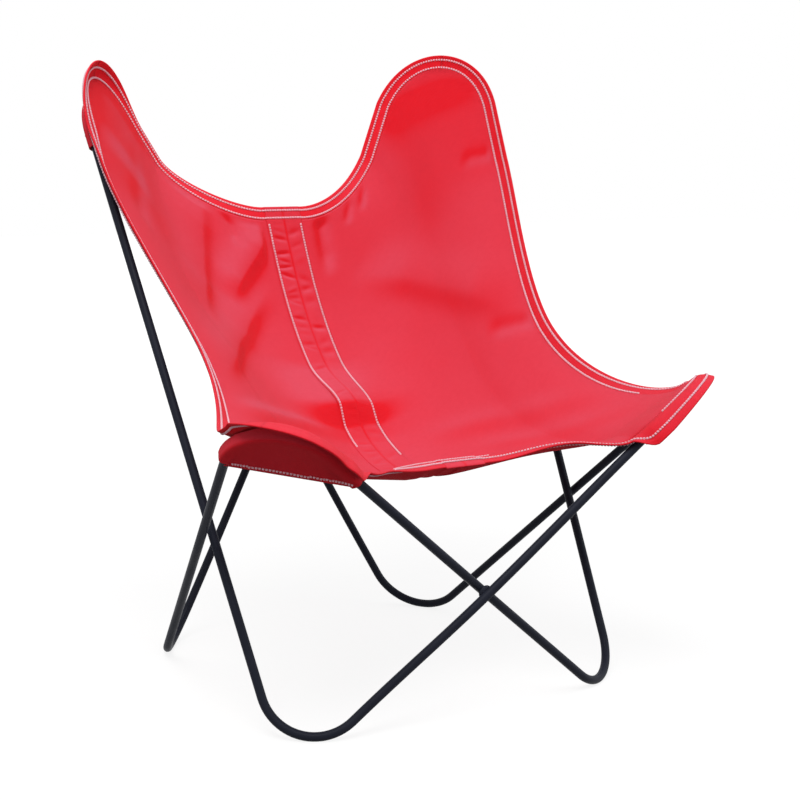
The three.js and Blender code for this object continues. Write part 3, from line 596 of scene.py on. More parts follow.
class Half:
    """One half of the sling, worked out on the right-hand side of the chair."""

    def __init__(self, side):
        self.side = side
        self.back = Bend(BACK_TIP, FOOT_FRONT_RIGHT, mirrored(FOOT_REAR_RIGHT), BACK_TIP_RADIUS[side])
        self.front = Bend(FRONT_TIP, FOOT_REAR_RIGHT, mirrored(FOOT_FRONT_RIGHT), FRONT_TIP_RADIUS)
        self.make_outline()

    def placed(self, points):
        """Points of the right-hand half on this half's own side."""
        return mirrored(points) if self.side == "left" else points

    def make_outline(self):
        """Cut edge and hem line: curved top, round back lobe, waisted side, round front lobe and lip."""
        side, back, front = self.side, self.back, self.front
        t = np.arange(1, EDGE_STEPS + 1) / EDGE_STEPS
        eased = smooth(t)

        def on_run(bend, along, run, out, overhang):
            return bend.corner + along * run + out * overhang + bend.normal * CLOTH_LIFT

        def on_lobe(bend, overhang, share):
            distance = (bend.radius + overhang)[..., None]
            return bend.centre + bend.spoke(share) * distance + bend.normal * CLOTH_LIFT

        start, finish = beside_seam(TOP_EDGE), beside_seam(FRONT_EDGE)
        inner = on_run(back, back.to_second, TOP_RUN, back.out_second, TOP_RUN_OVERHANG[side])
        outer = on_run(back, back.to_first, SIDE_RUN, back.out_first, SIDE_RUN_OVERHANG)
        flank = on_run(front, front.to_second, FRONT_RUN, front.out_second, FLANK_OVERHANG[side])
        back_over = (BACK_INNER_OVERHANG[side], BACK_TIP_OVERHANG[side], BACK_OUTER_OVERHANG[side])
        front_over = (FRONT_SIDE_OVERHANG[side], FRONT_TIP_OVERHANG[side], FRONT_INNER_OVERHANG[side])
        bulge = FRONT_BULGE[side] * np.sin(math.pi * t)

        def back_lobe(share):
            return on_lobe(back, round_lobe(back_over, share), 1 - share)

        def front_share(share):
            return FRONT_LOBE_START + (1 - FRONT_LOBE_START) * share

        def front_lobe(share):
            place = front_share(share)
            return on_lobe(front, round_lobe(front_over, place), place)

        zero, one = np.float64(0), np.float64(1)
        top_normal = upward(slope(90 - BACK_LEAN))
        waist_normal = unit(back.normal + front.normal)
        waist_way = slope(WAIST_DROP)
        way_in = unit(front_lobe(np.float64(0.02)) - front_lobe(zero))
        lip_way = unit(unit(flank - front_lobe(one)) + unit(finish - flank))
        curls, front_curls = BACK_CURLS[side], FRONT_CURLS[side]
        handles = TOP_HANDLES[side]

        def droop(overhang, curl):
            return curl * ramp(overhang, CURL_FROM, 2 * CURL_FROM)

        runs = [
            (bezier(start, start + CROSS * handles[0], inner + back.to_second * handles[1], inner, t),
             top_normal, back.normal, curls[0] * eased),
            (blend(inner, back_lobe(zero), t), back.normal, back.normal, curls[0] + 0 * t),
            (back_lobe(t), back.normal, back.normal, round_lobe(curls[:3], t)),
            (blend(back_lobe(one), outer, t), back.normal, back.normal, curls[2] * (1 - t) + curls[3] * t),
            (bezier(outer, outer + back.to_first * SIDE_HANDLES[0], WAIST - waist_way * SIDE_HANDLES[1],
                    WAIST, t), back.normal, waist_normal, curls[3] * (1 - eased)),
            (bezier(WAIST, WAIST + waist_way * SIDE_HANDLES[2], front_lobe(zero) - way_in * SIDE_HANDLES[3],
                    front_lobe(zero), t), waist_normal, front.normal, 0 * t),
            (front_lobe(t), front.normal, front.normal,
             droop(round_lobe(front_over, front_share(t)), round_lobe(front_curls, front_share(t)))),
            (blend(front_lobe(one), flank, t) + bulge[:, None] * front.out_second, front.normal, front.normal,
             droop(front_over[2] * (1 - t) + FLANK_OVERHANG[side] * t + bulge, front_curls[2])),
            (bezier(flank, flank + lip_way * FRONT_HANDLES[0], finish + CROSS * FRONT_HANDLES[1], finish, t)
             + (LIP_RISE[side] * np.sin(math.pi * t) ** 2)[:, None] * UP,
             front.normal, upward(slope(-FRONT_RISE)), LIP_CURL * ramp(t, *LIP_CURL_SPAN)),
        ]
        edge = np.concatenate([start[None]] + [run[0] for run in runs])
        normal = np.concatenate([top_normal[None]] + [unit(blend(run[1], run[2], eased)) for run in runs])
        curls = np.concatenate([[0.0]] + [run[3] for run in runs])
        near = EDGE_STEPS // 12
        place = np.arange(len(edge))
        tangent = unit(edge[np.minimum(place + near, place[-1])] - edge[np.maximum(place - near, 0)])
        hem = edge + unit(np.cross(tangent, normal)) * HEM_WIDTH
        hem[0], hem[-1] = beside_seam(TOP_HEM), beside_seam(FRONT_HEM)
        back_tip = int(2.5 * EDGE_STEPS)
        front_tip = round((6 + (0.5 - FRONT_LOBE_START) / (1 - FRONT_LOBE_START)) * EDGE_STEPS)

        def line(first, last, step):
            part = slice(first, last, step)
            return EdgeLine(edge[part], hem[part], normal[part], curls[part])

        self.top = line(0, back_tip + 1, 1)
        self.outer = line(back_tip, front_tip + 1, 1)
        self.lip = line(None, front_tip - 1, -1)

    def patch(self, u, v):
        """Blend of the four edges of the panel: the two pairs of edges less the four corners."""
        u, v = np.broadcast_arrays(u, v)
        top, lip, outer = self.top.at(u)[1], self.lip.at(u)[1], self.outer.at(v)[1]
        seam = beside_seam(seam_at(v))
        ends = np.array([0.0, 1.0])
        (a, b), (c, d) = self.top.at(ends)[1], self.lip.at(ends)[1]
        u, v = u[..., None], v[..., None]
        edges = top * (1 - v) + lip * v + seam * (1 - u) + outer * u
        return edges - a * (1 - u) * (1 - v) - b * u * (1 - v) - c * (1 - u) * v - d * u * v

    def surface(self, u, v):
        """Panel inside its hem: the blended patch, turned at three edges towards the planes set there, with
        the seat drawn part of the way to the straight lines between its seam and its outer edge."""
        small = 0.01
        u, v = np.broadcast_arrays(u, v)
        zero, one = 0 * u, 0 * u + 1

        def stray(begin, end, normal):
            return -normal * dot((end - begin) / small, normal)[..., None]

        def leaving(share):
            return (share * (1 - share) ** 2)[..., None]

        taut = (TAUTNESS * v * np.maximum(0, np.sin(math.pi * v)) ** 0.6)[..., None]
        seam = beside_seam(seam_at(v))
        outer = self.outer.at(v)
        straight = blend(seam, outer[1], u)
        by_seam = stray(self.patch(zero, v), self.patch(zero + small, v), upward(seam_way(v)))
        by_side = stray(self.patch(one - small, v), self.patch(one, v), outer[2])
        by_top = stray(self.patch(u, zero), self.patch(u, zero + small), self.top.at(u)[2])
        turned = SEAM_PULL * leaving(u) * by_seam - SIDE_PULL * leaving(1 - u) * by_side
        return self.patch(u, v) * (1 - taut) + straight * taut + turned + TOP_PULL * leaving(v) * by_top

    def hem(self, line, place, share):
        """Places and normals across the hem: share 0 is its inner line, 1 the cut edge, which may curl."""
        edge, hem, normal, curl = line.at(place)
        share = np.asarray(share, float)
        out = unit(edge - hem)
        at = blend(hem, edge, share) + normal * (curl * share**2)[..., None]
        up = unit(normal - out * (2 * curl * share / HEM_WIDTH)[..., None])
        return at, up

    def turned_hem(self, line, place):
        """Hem as a profile carried along its line: out to the cut edge, round a tight fold and back
        underneath. Gives the places, and the distance from the cut edge, which is negative underneath."""
        fold = 0.5 * (CLOTH + GAP)
        shares = np.linspace(0, 1, HEM_STEPS + 1)
        place = np.asarray(place)[:, None]
        at, up = self.hem(line, place, shares[None] + 0 * place)
        last_at, last_up = at[:, -1:], up[:, -1:]
        out = unit(at[:, -1:] - at[:, -2:-1])
        turn = np.linspace(0, math.pi, TURN_STEPS + 1)[1:-1][None, :, None]
        bent = last_at - last_up * fold + fold * (last_up * np.cos(turn) + out * np.sin(turn))
        under = at[:, :0:-1] - up[:, :0:-1] * 2 * fold
        inset = (1 - shares) * HEM_WIDTH
        insets = np.concatenate([inset, np.zeros(TURN_STEPS - 1), -1 - inset[:0:-1]])
        return np.concatenate([at, bent, under], axis=1), np.broadcast_to(insets, (len(at), len(insets)))


HALVES = {"left": Half("left"), "right": Half("right")}


def grid_normals(grid):
    """Normals of a grid of points, from its differences along rows and columns."""
    return unit(np.cross(np.gradient(grid, axis=0), np.gradient(grid, axis=1)))


# Meshes


def face_normals(points, faces):
    """Normals of faces, from their first three corners, and the first corners."""
    a, b, c = np.swapaxes(points[faces[:, :3]], 0, 1)
    return np.cross(b - a, c - a), a


def grid_faces(rows, columns, closed_rows=False, closed_columns=False):
    """Four-sided faces of a grid, as indices into its points."""
    r = np.arange(rows if closed_rows else rows - 1)[:, None]
    c = np.arange(columns if closed_columns else columns - 1)[None]
    r2, c2 = (r + 1) % rows, (c + 1) % columns
    corners = [r * columns + c, r2 * columns + c, r2 * columns + c2, r * columns + c2]
    return np.stack(np.broadcast_arrays(*corners), axis=-1).reshape(-1, 4)


def welded(grids, facts):
    """One mesh from grids that share their borders: equal points become one, with the facts of the first."""
    points = np.concatenate([grid.reshape(-1, 3) for grid in grids])
    values = np.concatenate([fact.reshape(-1, fact.shape[-1]) for fact in facts])
    starts = np.cumsum([0] + [grid.shape[0] * grid.shape[1] for grid in grids])
    faces = np.concatenate([grid_faces(*grid.shape[:2]) + start for grid, start in zip(grids, starts)])
    _, first, which = np.unique(np.round(points, 3), axis=0, return_index=True, return_inverse=True)
    faces = which.reshape(-1)[faces]
    whole = np.all(np.diff(np.sort(faces, axis=1), axis=1) > 0, axis=1)
    return points[first], faces[whole], values[first]


def new_piece(name, points, faces, material, facts=None):
    """Piece of the chair from points in millimetres, with a UV map and attributes for its material."""
    mesh = bpy.data.meshes.new(name)
    mesh.from_pydata(((points + SHIFT) * MM).tolist(), [], faces.tolist())
    mesh.polygons.foreach_set("use_smooth", np.ones(len(mesh.polygons), bool))
    if facts is not None:
        corners = np.empty(len(mesh.loops), np.int32)
        mesh.loops.foreach_get("vertex_index", corners)
        layer = mesh.uv_layers.new(name="cloth")
        layer.data.foreach_set("uv", (facts[corners, :2] * MM).astype(np.float32).ravel())
        # The last attribute holds the painted light and shade of the canvas.
        for column, label in enumerate(("along", "inset", "painted_light"), start=2):
            attribute = mesh.attributes.new(label, "FLOAT", "POINT")
            attribute.data.foreach_set("value", facts[:, column].astype(np.float32))
    mesh.validate()
    mesh.update()
    piece = bpy.data.objects.new(name, mesh)
    bpy.context.scene.collection.objects.link(piece)
    mesh.materials.append(material)
    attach(piece, "root")
    return piece


def thicken(piece):
    """Gives a sheet the thickness of the canvas, half to each side."""
    solid = piece.modifiers.new("Canvas", "SOLIDIFY")
    solid.thickness = CLOTH * MM
    solid.offset = 0


# Materials


def node_group(name, inputs, outputs):
    """Empty shader node group with named sockets."""
    group = bpy.data.node_groups.new(name, "ShaderNodeTree")
    for label, kind, default in inputs:
        socket = group.interface.new_socket(label, in_out="INPUT", socket_type=kind)
        if default is not None:
            socket.default_value = default
    for label, kind in outputs:
        group.interface.new_socket(label, in_out="OUTPUT", socket_type=kind)
    return group, group.nodes.new("NodeGroupInput"), group.nodes.new("NodeGroupOutput")


def math_node(nodes, links, operation, a, b=None):
    """Value worked out from one or two others, each a number or a socket."""
    node = nodes.new("ShaderNodeMath")
    node.operation = operation
    for socket, value in zip(node.inputs, (a, b)):
        if value is None:
            continue
        if isinstance(value, (int, float)):
            socket.default_value = value
        else:
            links.new(value, socket)
    return node.outputs[0]


def weave_group():
    """Plain weave: two sets of yarns that pass over and under each other, as the product of a sine across and
    a sine along the cloth, and the slubs in the yarns, as stretched noise."""
    group, given, put = node_group(
        "Plain weave",
        [("Cloth", "NodeSocketVector", None), ("Yarn", "NodeSocketFloat", 0.0009)],
        [("Height", "NodeSocketFloat"), ("Slub", "NodeSocketFloat")],
    )
    nodes, links = group.nodes, group.links
    split = nodes.new("ShaderNodeSeparateXYZ")
    links.new(given.outputs["Cloth"], split.inputs[0])
    turns = []
    for axis in (0, 1):
        count = math_node(nodes, links, "DIVIDE", split.outputs[axis], given.outputs["Yarn"])
        turns.append(math_node(nodes, links, "MULTIPLY", count, math.pi))
    waves = [math_node(nodes, links, "SINE", turn) for turn in turns]
    cross = math_node(nodes, links, "MULTIPLY", waves[0], waves[1])
    links.new(cross, put.inputs["Height"])
    stretch = nodes.new("ShaderNodeMapping")
    stretch.inputs["Scale"].default_value = (60, 900, 1)
    links.new(given.outputs["Cloth"], stretch.inputs["Vector"])
    slub = nodes.new("ShaderNodeTexNoise")
    slub.inputs["Scale"].default_value = 1.0
    slub.inputs["Detail"].default_value = 3.0
    links.new(stretch.outputs["Vector"], slub.inputs["Vector"])
    links.new(slub.outputs["Fac"], put.inputs["Slub"])
    return group


def pucker_group():
    """Puckers of a hem: short wrinkles square to the edge that fade away from it, and a groove along each row
    of stitches, as a bell in the distance from the row."""
    group, given, put = node_group(
        "Hem pucker",
        [("Along", "NodeSocketFloat", 0.0), ("Inset", "NodeSocketFloat", 0.0)],
        [("Height", "NodeSocketFloat"), ("Near", "NodeSocketFloat")],
    )
    nodes, links = group.nodes, group.links
    point = nodes.new("ShaderNodeCombineXYZ")
    links.new(math_node(nodes, links, "DIVIDE", given.outputs["Along"], 13.0), point.inputs["X"])
    links.new(math_node(nodes, links, "DIVIDE", given.outputs["Inset"], 40.0), point.inputs["Y"])
    noise = nodes.new("ShaderNodeTexNoise")
    noise.inputs["Scale"].default_value = 1.0
    noise.inputs["Detail"].default_value = 1.5
    links.new(point.outputs[0], noise.inputs["Vector"])
    depth = math_node(nodes, links, "ABSOLUTE", given.outputs["Inset"])
    near = nodes.new("ShaderNodeMapRange")
    near.interpolation_type = "SMOOTHSTEP"
    near.inputs["From Min"].default_value = 44.0
    near.inputs["From Max"].default_value = 14.0
    links.new(depth, near.inputs["Value"])
    wrinkle = math_node(nodes, links, "MULTIPLY", noise.outputs["Fac"], near.outputs["Result"])
    grooves = []
    for row in (5.0, 17.0):
        away = math_node(nodes, links, "SUBTRACT", depth, row)
        square = math_node(nodes, links, "MULTIPLY", away, away)
        fall = math_node(nodes, links, "MULTIPLY", square, -0.22)
        grooves.append(math_node(nodes, links, "EXPONENT", fall))
    groove = math_node(nodes, links, "ADD", grooves[0], grooves[1])
    sunk = math_node(nodes, links, "MULTIPLY", groove, -0.45)
    links.new(math_node(nodes, links, "ADD", wrinkle, sunk), put.inputs["Height"])
    links.new(near.outputs["Result"], put.inputs["Near"])
    return group


def cloud_group():
    """Soft uneven tone over a surface, from its object coordinates."""
    group, given, put = node_group(
        "Uneven tone",
        [("Point", "NodeSocketVector", None), ("Scale", "NodeSocketFloat", 20.0)],
        [("Tone", "NodeSocketFloat")],
    )
    noise = group.nodes.new("ShaderNodeTexNoise")
    noise.inputs["Detail"].default_value = 4.0
    group.links.new(given.outputs["Point"], noise.inputs["Vector"])
    group.links.new(given.outputs["Scale"], noise.inputs["Scale"])
    group.links.new(noise.outputs["Fac"], put.inputs["Tone"])
    return group


def shared_group(name, make):
    """Node group that all materials share, made where it is first wanted."""
    return bpy.data.node_groups.get(name) or make()


def place_group(material, name, make, **values):
    """Shared group in a material, with its own values or links."""
    node = material.node_tree.nodes.new("ShaderNodeGroup")
    node.node_tree = shared_group(name, make)
    for label, value in values.items():
        if isinstance(value, (int, float)):
            node.inputs[label].default_value = value
        else:
            material.node_tree.links.new(value, node.inputs[label])
    return node


def uneven_tone(material, scale):
    """Uneven tone over a piece, by its object coordinates."""
    place = material.node_tree.nodes.new("ShaderNodeTexCoord")
    group = place_group(material, "Uneven tone", cloud_group, Point=place.outputs["Object"], Scale=scale)
    return group.outputs["Tone"]


def attribute(nodes, name):
    """Value that a piece carries at its points."""
    node = nodes.new("ShaderNodeAttribute")
    node.attribute_name = name
    return node.outputs["Fac"]


def new_material(name):
    """Material with its nodes, its links and its shader."""
    material = bpy.data.materials.new(name)
    material.use_nodes = True
    tree = material.node_tree
    return material, tree.nodes, tree.links, tree.nodes["Principled BSDF"]


def mixed_colour(nodes, links, factor, low, high):
    """Colour between two others, each a plain colour or a socket."""
    mix = nodes.new("ShaderNodeMix")
    mix.data_type = "RGBA"
    links.new(factor, mix.inputs["Factor"])
    for socket, colour in ((mix.inputs[6], low), (mix.inputs[7], high)):
        if isinstance(colour, tuple):
            socket.default_value = (*colour, 1)
        else:
            links.new(colour, socket)
    return mix.outputs[2]


def mapped(nodes, links, value, low, high, to_low, to_high):
    """Value stretched from one range to another and held within it."""
    node = nodes.new("ShaderNodeMapRange")
    links.new(value, node.inputs["Value"])
    for label, number in (("From Min", low), ("From Max", high), ("To Min", to_low), ("To Max", to_high)):
        node.inputs[label].default_value = number
    return node.outputs["Result"]


def bump(nodes, links, height, distance, normal=None):
    """Normal tilted by a height, which stands for the given distance in metres."""
    node = nodes.new("ShaderNodeBump")
    node.inputs["Distance"].default_value = distance
    links.new(height, node.inputs["Height"])
    if normal is not None:
        links.new(normal, node.inputs["Normal"])
    return node.outputs["Normal"]


def scaled_colour(colour, shares):
    """Colour with shares of its red, green and blue."""
    return tuple(min(1.0, value * share) for value, share in zip(colour, shares))


def canvas_material():
    """Heavy red canvas: plain weave, slubs in the yarns, uneven tone, puckers along the hems, and painted
    light and shade, paler on upward faces and lit fold flanks, deeper in shaded ones.
    """
    if "Canvas" in bpy.data.materials:
        return bpy.data.materials["Canvas"]
    settings = bpy.context.scene.chair_cloth
    red = tuple(settings.canvas)
    material, nodes, links, shader = new_material("Canvas")
    cloth = nodes.new("ShaderNodeUVMap")
    cloth.uv_map = "cloth"
    along, inset, painted_light = [attribute(nodes, name) for name in ("along", "inset", "painted_light")]
    weave = place_group(material, "Plain weave", weave_group, Cloth=cloth.outputs["UV"], Yarn=settings.yarn)
    pucker = place_group(material, "Hem pucker", pucker_group, Along=along, Inset=inset)
    fine = uneven_tone(material, 140.0)
    tone = mapped(nodes, links, uneven_tone(material, 9.0), 0.3, 0.7, -0.05, 0.05)
    turned = nodes.new("ShaderNodeNewGeometry")
    height = nodes.new("ShaderNodeSeparateXYZ")
    links.new(turned.outputs["Normal"], height.inputs["Vector"])
    # Painted sky sheen: faces that turn upwards are painted paler.
    up = mapped(nodes, links, height.outputs["Z"], -0.2, 0.9, 0.05, 0.70)
    # Painted light and shade of fold flanks, lobes, hems and groove, from the piece's attribute.
    flank = mapped(nodes, links, painted_light, -1, 1, -0.6, 0.6)
    # Painted light and shade plus a small random tone choose the colour between deep and pale.
    painted_light_and_tone = math_node(nodes, links, "ADD", math_node(nodes, links, "ADD", up, flank), tone)
    painted_light_and_tone = mapped(nodes, links, painted_light_and_tone, 0, 1, 0, 1)
    colour = mixed_colour(nodes, links, painted_light_and_tone, scaled_colour(red, DEEP_SHADE_AND_DYE), scaled_colour(red, PALE_LIGHT_AND_DYE))
    worn = mapped(nodes, links, fine, 0.35, 0.75, 0.0, 0.10)
    colour = mixed_colour(nodes, links, worn, colour, tuple(value * 0.80 for value in red))
    yarn = mapped(nodes, links, weave.outputs["Slub"], 0.35, 0.7, 0.0, 0.10)
    colour = mixed_colour(nodes, links, yarn, colour, tuple(min(1.0, value * 1.25 + 0.012) for value in red))
    links.new(colour, shader.inputs["Base Color"])
    links.new(mapped(nodes, links, fine, 0.3, 0.7, 0.88, 0.97), shader.inputs["Roughness"])
    normal = bump(nodes, links, pucker.outputs["Height"], 0.0012)
    normal = bump(nodes, links, weave.outputs["Height"], 0.00018, normal)
    normal = bump(nodes, links, weave.outputs["Slub"], 0.0002, normal)
    links.new(normal, shader.inputs["Normal"])
    shader.inputs["Sheen Weight"].default_value = 0.03
    shader.inputs["Sheen Roughness"].default_value = 0.5
    shader.inputs["Specular IOR Level"].default_value = 0.12
    return material


def thread_material():
    """Twisted sewing thread: a slanting ply across each stitch, a little soiled."""
    if "Thread" in bpy.data.materials:
        return bpy.data.materials["Thread"]
    pale = tuple(bpy.context.scene.chair_stitches.thread)
    material, nodes, links, shader = new_material("Thread")
    place = nodes.new("ShaderNodeTexCoord")
    ply = nodes.new("ShaderNodeTexWave")
    ply.bands_direction = "DIAGONAL"
    ply.inputs["Scale"].default_value = 500.0
    ply.inputs["Distortion"].default_value = 1.0
    links.new(place.outputs["Object"], ply.inputs["Vector"])
    soil = uneven_tone(material, 60.0)
    dull = mapped(nodes, links, soil, 0.35, 0.7, 0.0, 0.5)
    colour = mixed_colour(nodes, links, dull, pale, tuple(value * 0.86 for value in pale))
    links.new(colour, shader.inputs["Base Color"])
    links.new(mapped(nodes, links, soil, 0.3, 0.7, 0.5, 0.68), shader.inputs["Roughness"])
    links.new(bump(nodes, links, ply.outputs["Fac"], 0.0002), shader.inputs["Normal"])
    shader.inputs["Sheen Weight"].default_value = 0.2
    return material


def paint_material():
    """Satin black paint on drawn rod: faint orange peel, uneven gloss and a little dust."""
    if "Rod paint" in bpy.data.materials:
        return bpy.data.materials["Rod paint"]
    settings = bpy.context.scene.chair_rods
    black = tuple(settings.paint)
    material, nodes, links, shader = new_material("Rod paint")
    broad = uneven_tone(material, 14.0)
    dust = mapped(nodes, links, broad, 0.45, 0.75, 0.0, 0.35)
    colour = mixed_colour(nodes, links, dust, black, tuple(value * 1.6 + 0.004 for value in black))
    links.new(colour, shader.inputs["Base Color"])
    low, high = settings.roughness - 0.07, settings.roughness + 0.09
    links.new(mapped(nodes, links, broad, 0.3, 0.7, low, high), shader.inputs["Roughness"])
    links.new(bump(nodes, links, uneven_tone(material, 420.0), 0.00012), shader.inputs["Normal"])
    shader.inputs["Specular IOR Level"].default_value = 0.06
    return material


# Pieces


def place_facts(uv, along, inset, painted_light=None):
    """Columns that a cloth piece carries for its material, in one table; the last is its painted light and
    shade.
    """
    painted_light = np.zeros(inset.shape) if painted_light is None else painted_light
    return np.concatenate([uv, along[..., None], inset[..., None], painted_light[..., None]], axis=-1)


def painted_flank_shading(height, x, y, sideways):
    """Painted light and shade on the flanks of folds: the slope down the panel and part of the slope across
    it, times the contrast. It is above nought, painted paler, where a flank rises away from the painted
    light, which stands above and to one side, and below nought, painted deeper, where it falls. The height
    and the two distances are grids in millimetres."""
    least = 0.2
    across = np.gradient(height, axis=0) / np.maximum(np.gradient(x, axis=0), least)
    down = np.gradient(height, axis=1) / np.maximum(np.gradient(y, axis=1), least)
    return np.clip(PANEL_PAINTED_CONTRAST * (sideways * across + down), -1, 1)


def seam_fold(v, x):
    """Height of the fold across the seam where the back meets the seat: the cloth rises to a rounded crest,
    drops steeply, dips a little and levels out. It is higher on the left and dies away to both sides."""
    crest = CREST * ramp(v, *CREST_RISE) * (1 - ramp(v, *CREST_DROP))
    dip = DIP * ramp(v, *DIP_START) * (1 - ramp(v, *DIP_END))
    return (crest - dip) * (1 - x / CREST_LEAN) * np.exp(-((x / CREST_REACH) ** 2))


def ridge(u, v, line, height, spread):
    """Rounded fold along a line of places on a panel, which dies away at its ends: a bell in the distance
    from the line, with one spread on each of its sides. The height and the spreads are in millimetres."""
    x, y = u * FOLD_SPAN[0], v * FOLD_SPAN[1]
    spots = np.array(line) * FOLD_SPAN
    lengths = lengths_along(spots)
    nearest, side, run = np.full(u.shape, np.inf), np.zeros(u.shape), np.zeros(u.shape)
    for start, end, before in zip(spots[:-1], spots[1:], lengths):
        way = unit(end - start)
        part = np.clip((x - start[0]) * way[0] + (y - start[1]) * way[1], 0, np.linalg.norm(end - start))
        away_x, away_y = x - start[0] - part * way[0], y - start[1] - part * way[1]
        distance = np.hypot(away_x, away_y)
        closer = distance < nearest
        nearest = np.where(closer, distance, nearest)
        side = np.where(closer, way[0] * away_y - way[1] * away_x, side)
        run = np.where(closer, before + part, run)
    share = run / lengths[-1]
    width = spread[0] + (spread[1] - spread[0]) * ramp(side, -RIDGE_TURN, RIDGE_TURN)
    bell = height * np.exp(-((nearest / width) ** 2))
    return bell * ramp(share, 0, RIDGE_FADE) * (1 - ramp(share, 1 - RIDGE_FADE, 1))


def panel_folds(side, u, v):
    """Soft folds of a panel, as heights along its normal."""
    return sum(ridge(u, v, line, height, spread) for line, height, spread in FOLDS[side])


def painted_panel_shades(side, u, v):
    """Painted shade of a panel, each place a bell in the distance from its line."""
    return sum(ridge(u, v, line, depth, spread) for line, depth, spread in PAINTED_SHADES[side])


def lapped_under(grid, facts):
    """Grid with a few more rows before its first one, which run under the middle strip."""
    lap = np.linspace(-LAP, 0, LAP_STEPS + 1)[:-1, None, None]
    more = facts[:1] + lap * np.array([1.0, 0.0, 1.0, 0.0, 0.0])
    return np.concatenate([grid[:1] + lap * CROSS, grid]), np.concatenate([more, facts])


def panel_mesh(half):
    """Grids of a panel: its field over u and v, raised along its normals by the folds and lapped under the
    middle strip, and its turned hems on three sides. The steps are closer towards the edges."""
    u = 1 - (1 - np.linspace(0, 1, U_STEPS + 1)) ** U_CROWDING
    v = np.linspace(0, 1, V_STEPS + 1)
    v = v - V_CROWDING * np.sin(2 * math.pi * v)
    uu, vv = np.meshgrid(u, v, indexing="ij")
    field = half.surface(uu, vv)
    across, down = lengths_along(field), lengths_across(field)
    normals = grid_normals(field)
    normals = normals * np.sign(dot(normals, SEAT_SIDE - field))[..., None]
    sign = SIGN[half.side]
    middle_fold = seam_fold(vv, sign * (SEAM_HALF + across))
    fold = panel_folds(half.side, uu, vv) + middle_fold
    fold = fold * ramp(np.minimum(vv, 1 - vv), 0, FOLD_MARGIN) * ramp(1 - uu, 0, FOLD_MARGIN)
    fold = fold + (middle_fold - fold) * (1 - ramp(across, *BESIDE_STRIP))
    # Painted light and shade from the flanks of the folds, with painted shade on the back lobe and at the
    # listed places.
    painted_light = painted_flank_shading(fold, across, down, PAINTED_LIGHT_SIDEWAYS * sign)
    on_rod = ramp(uu, *ON_ROD_ACROSS) * (1 - ramp(vv, *ON_ROD_DOWN))
    painted_light = painted_light - LOBE_PAINTED_SHADE * on_rod - painted_panel_shades(half.side, uu, vv)
    # Hollows on the back lobe are flattened where it lies on its rod, and stay only as painted shade.
    fold = np.where(fold < 0, fold * (1 - on_rod), fold)
    field = field + normals * fold[..., None]
    from_side = across[-1:] - across
    from_lip = down[:, -1:] - down
    depth = np.minimum(np.minimum(from_side, from_lip), down)
    along = np.where(depth == from_side, half.outer.length * vv, half.top.length * uu)
    facts = place_facts(np.stack([across, down], axis=-1), along, depth + HEM_WIDTH, painted_light)
    pieces = [lapped_under(field, facts)]
    for line, places, border in (
        (half.top, u, facts[:, 0]), (half.outer, v, facts[-1]), (half.lip, u, facts[:, -1]),
    ):
        hem, inset = half.turned_hem(line, places)
        out = np.abs(HEM_WIDTH - np.abs(inset))
        uv = border[:, None, :2] + np.stack([out, 0 * out], axis=-1)
        runs = np.broadcast_to((places * line.length)[:, None], inset.shape)
        # The hems are painted deeper, as painted shade beside their rows of stitches.
        hem_facts = place_facts(uv, runs, inset, np.full(inset.shape, -HEM_PAINTED_SHADE))
        if line is not half.outer:
            hem, hem_facts = lapped_under(hem, hem_facts)
        if line is not half.lip:
            hem, hem_facts = hem[::-1], hem_facts[::-1]
        pieces.append((hem, hem_facts))
    return [grid for grid, _ in pieces], [values for _, values in pieces]


def facing_sitter(points, faces, upper):
    """Faces turned so that most of those on the upper side look towards the sitter."""
    normals, places = face_normals(points, faces)
    looks = dot(normals, SEAT_SIDE - places)[upper]
    return faces[:, ::-1] if looks.sum() < 0 else faces


def make_panel(side):
    """One half of the sling with its hems, as one welded sheet that is then given its thickness."""
    half = HALVES[side]
    grids, facts = panel_mesh(half)
    points, faces, values = welded(grids, facts)
    points = half.placed(points)
    upper = values[faces[:, 0], 3] > HEM_WIDTH + 1
    faces = facing_sitter(points, faces, upper)
    piece = new_piece(f"{side}_canvas_panel", points, faces, canvas_material(), values)
    thicken(piece)
    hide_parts(f"{side}_panel", f"{side}_edge_facing")
    return piece


def groove(x):
    """Depth of the sewn groove down the middle of the strip: a bell in the distance from the middle."""
    return np.exp(-((x / GROOVE_SPREAD) ** 2))


def strip_wrinkles(s, x, height):
    """Wrinkles of the middle strip: bells along its length, each in one half between the stitching and a sewn
    groove down the middle. They are close and narrow on the left, fewer and wider on the right."""
    random = np.random.default_rng(7)
    total = np.zeros(np.broadcast_shapes(s.shape, x.shape))
    for half, count, narrow, broad in WRINKLES:
        steps = np.arange(count) + random.uniform(0.1, 0.9, count)
        where = (WRINKLE_START + steps * (SEAM_LENGTH - WRINKLE_FREE) / count)[:, None, None]
        wide = random.uniform(narrow, broad, count)[:, None, None]
        tall = random.uniform(*WRINKLE_HEIGHTS, count)[:, None, None]
        slant = random.uniform(-WRINKLE_SLANT, WRINKLE_SLANT, count)[:, None, None]
        share = np.clip(half * x / SEAM_STITCH, 0, 1)[None]
        bell = np.exp(-(((s[None] - where - slant * x[None]) / wide) ** 2))
        total = total + (tall * bell * np.sin(math.pi * share)).sum(0)
    fade = ramp(s, WRINKLE_FADE[0] * SEAM_LENGTH, WRINKLE_FADE[1] * SEAM_LENGTH)
    strong = WRINKLE_FRONT + (1 - WRINKLE_FRONT) * (1 - fade)
    return height * total * strong - groove(x)


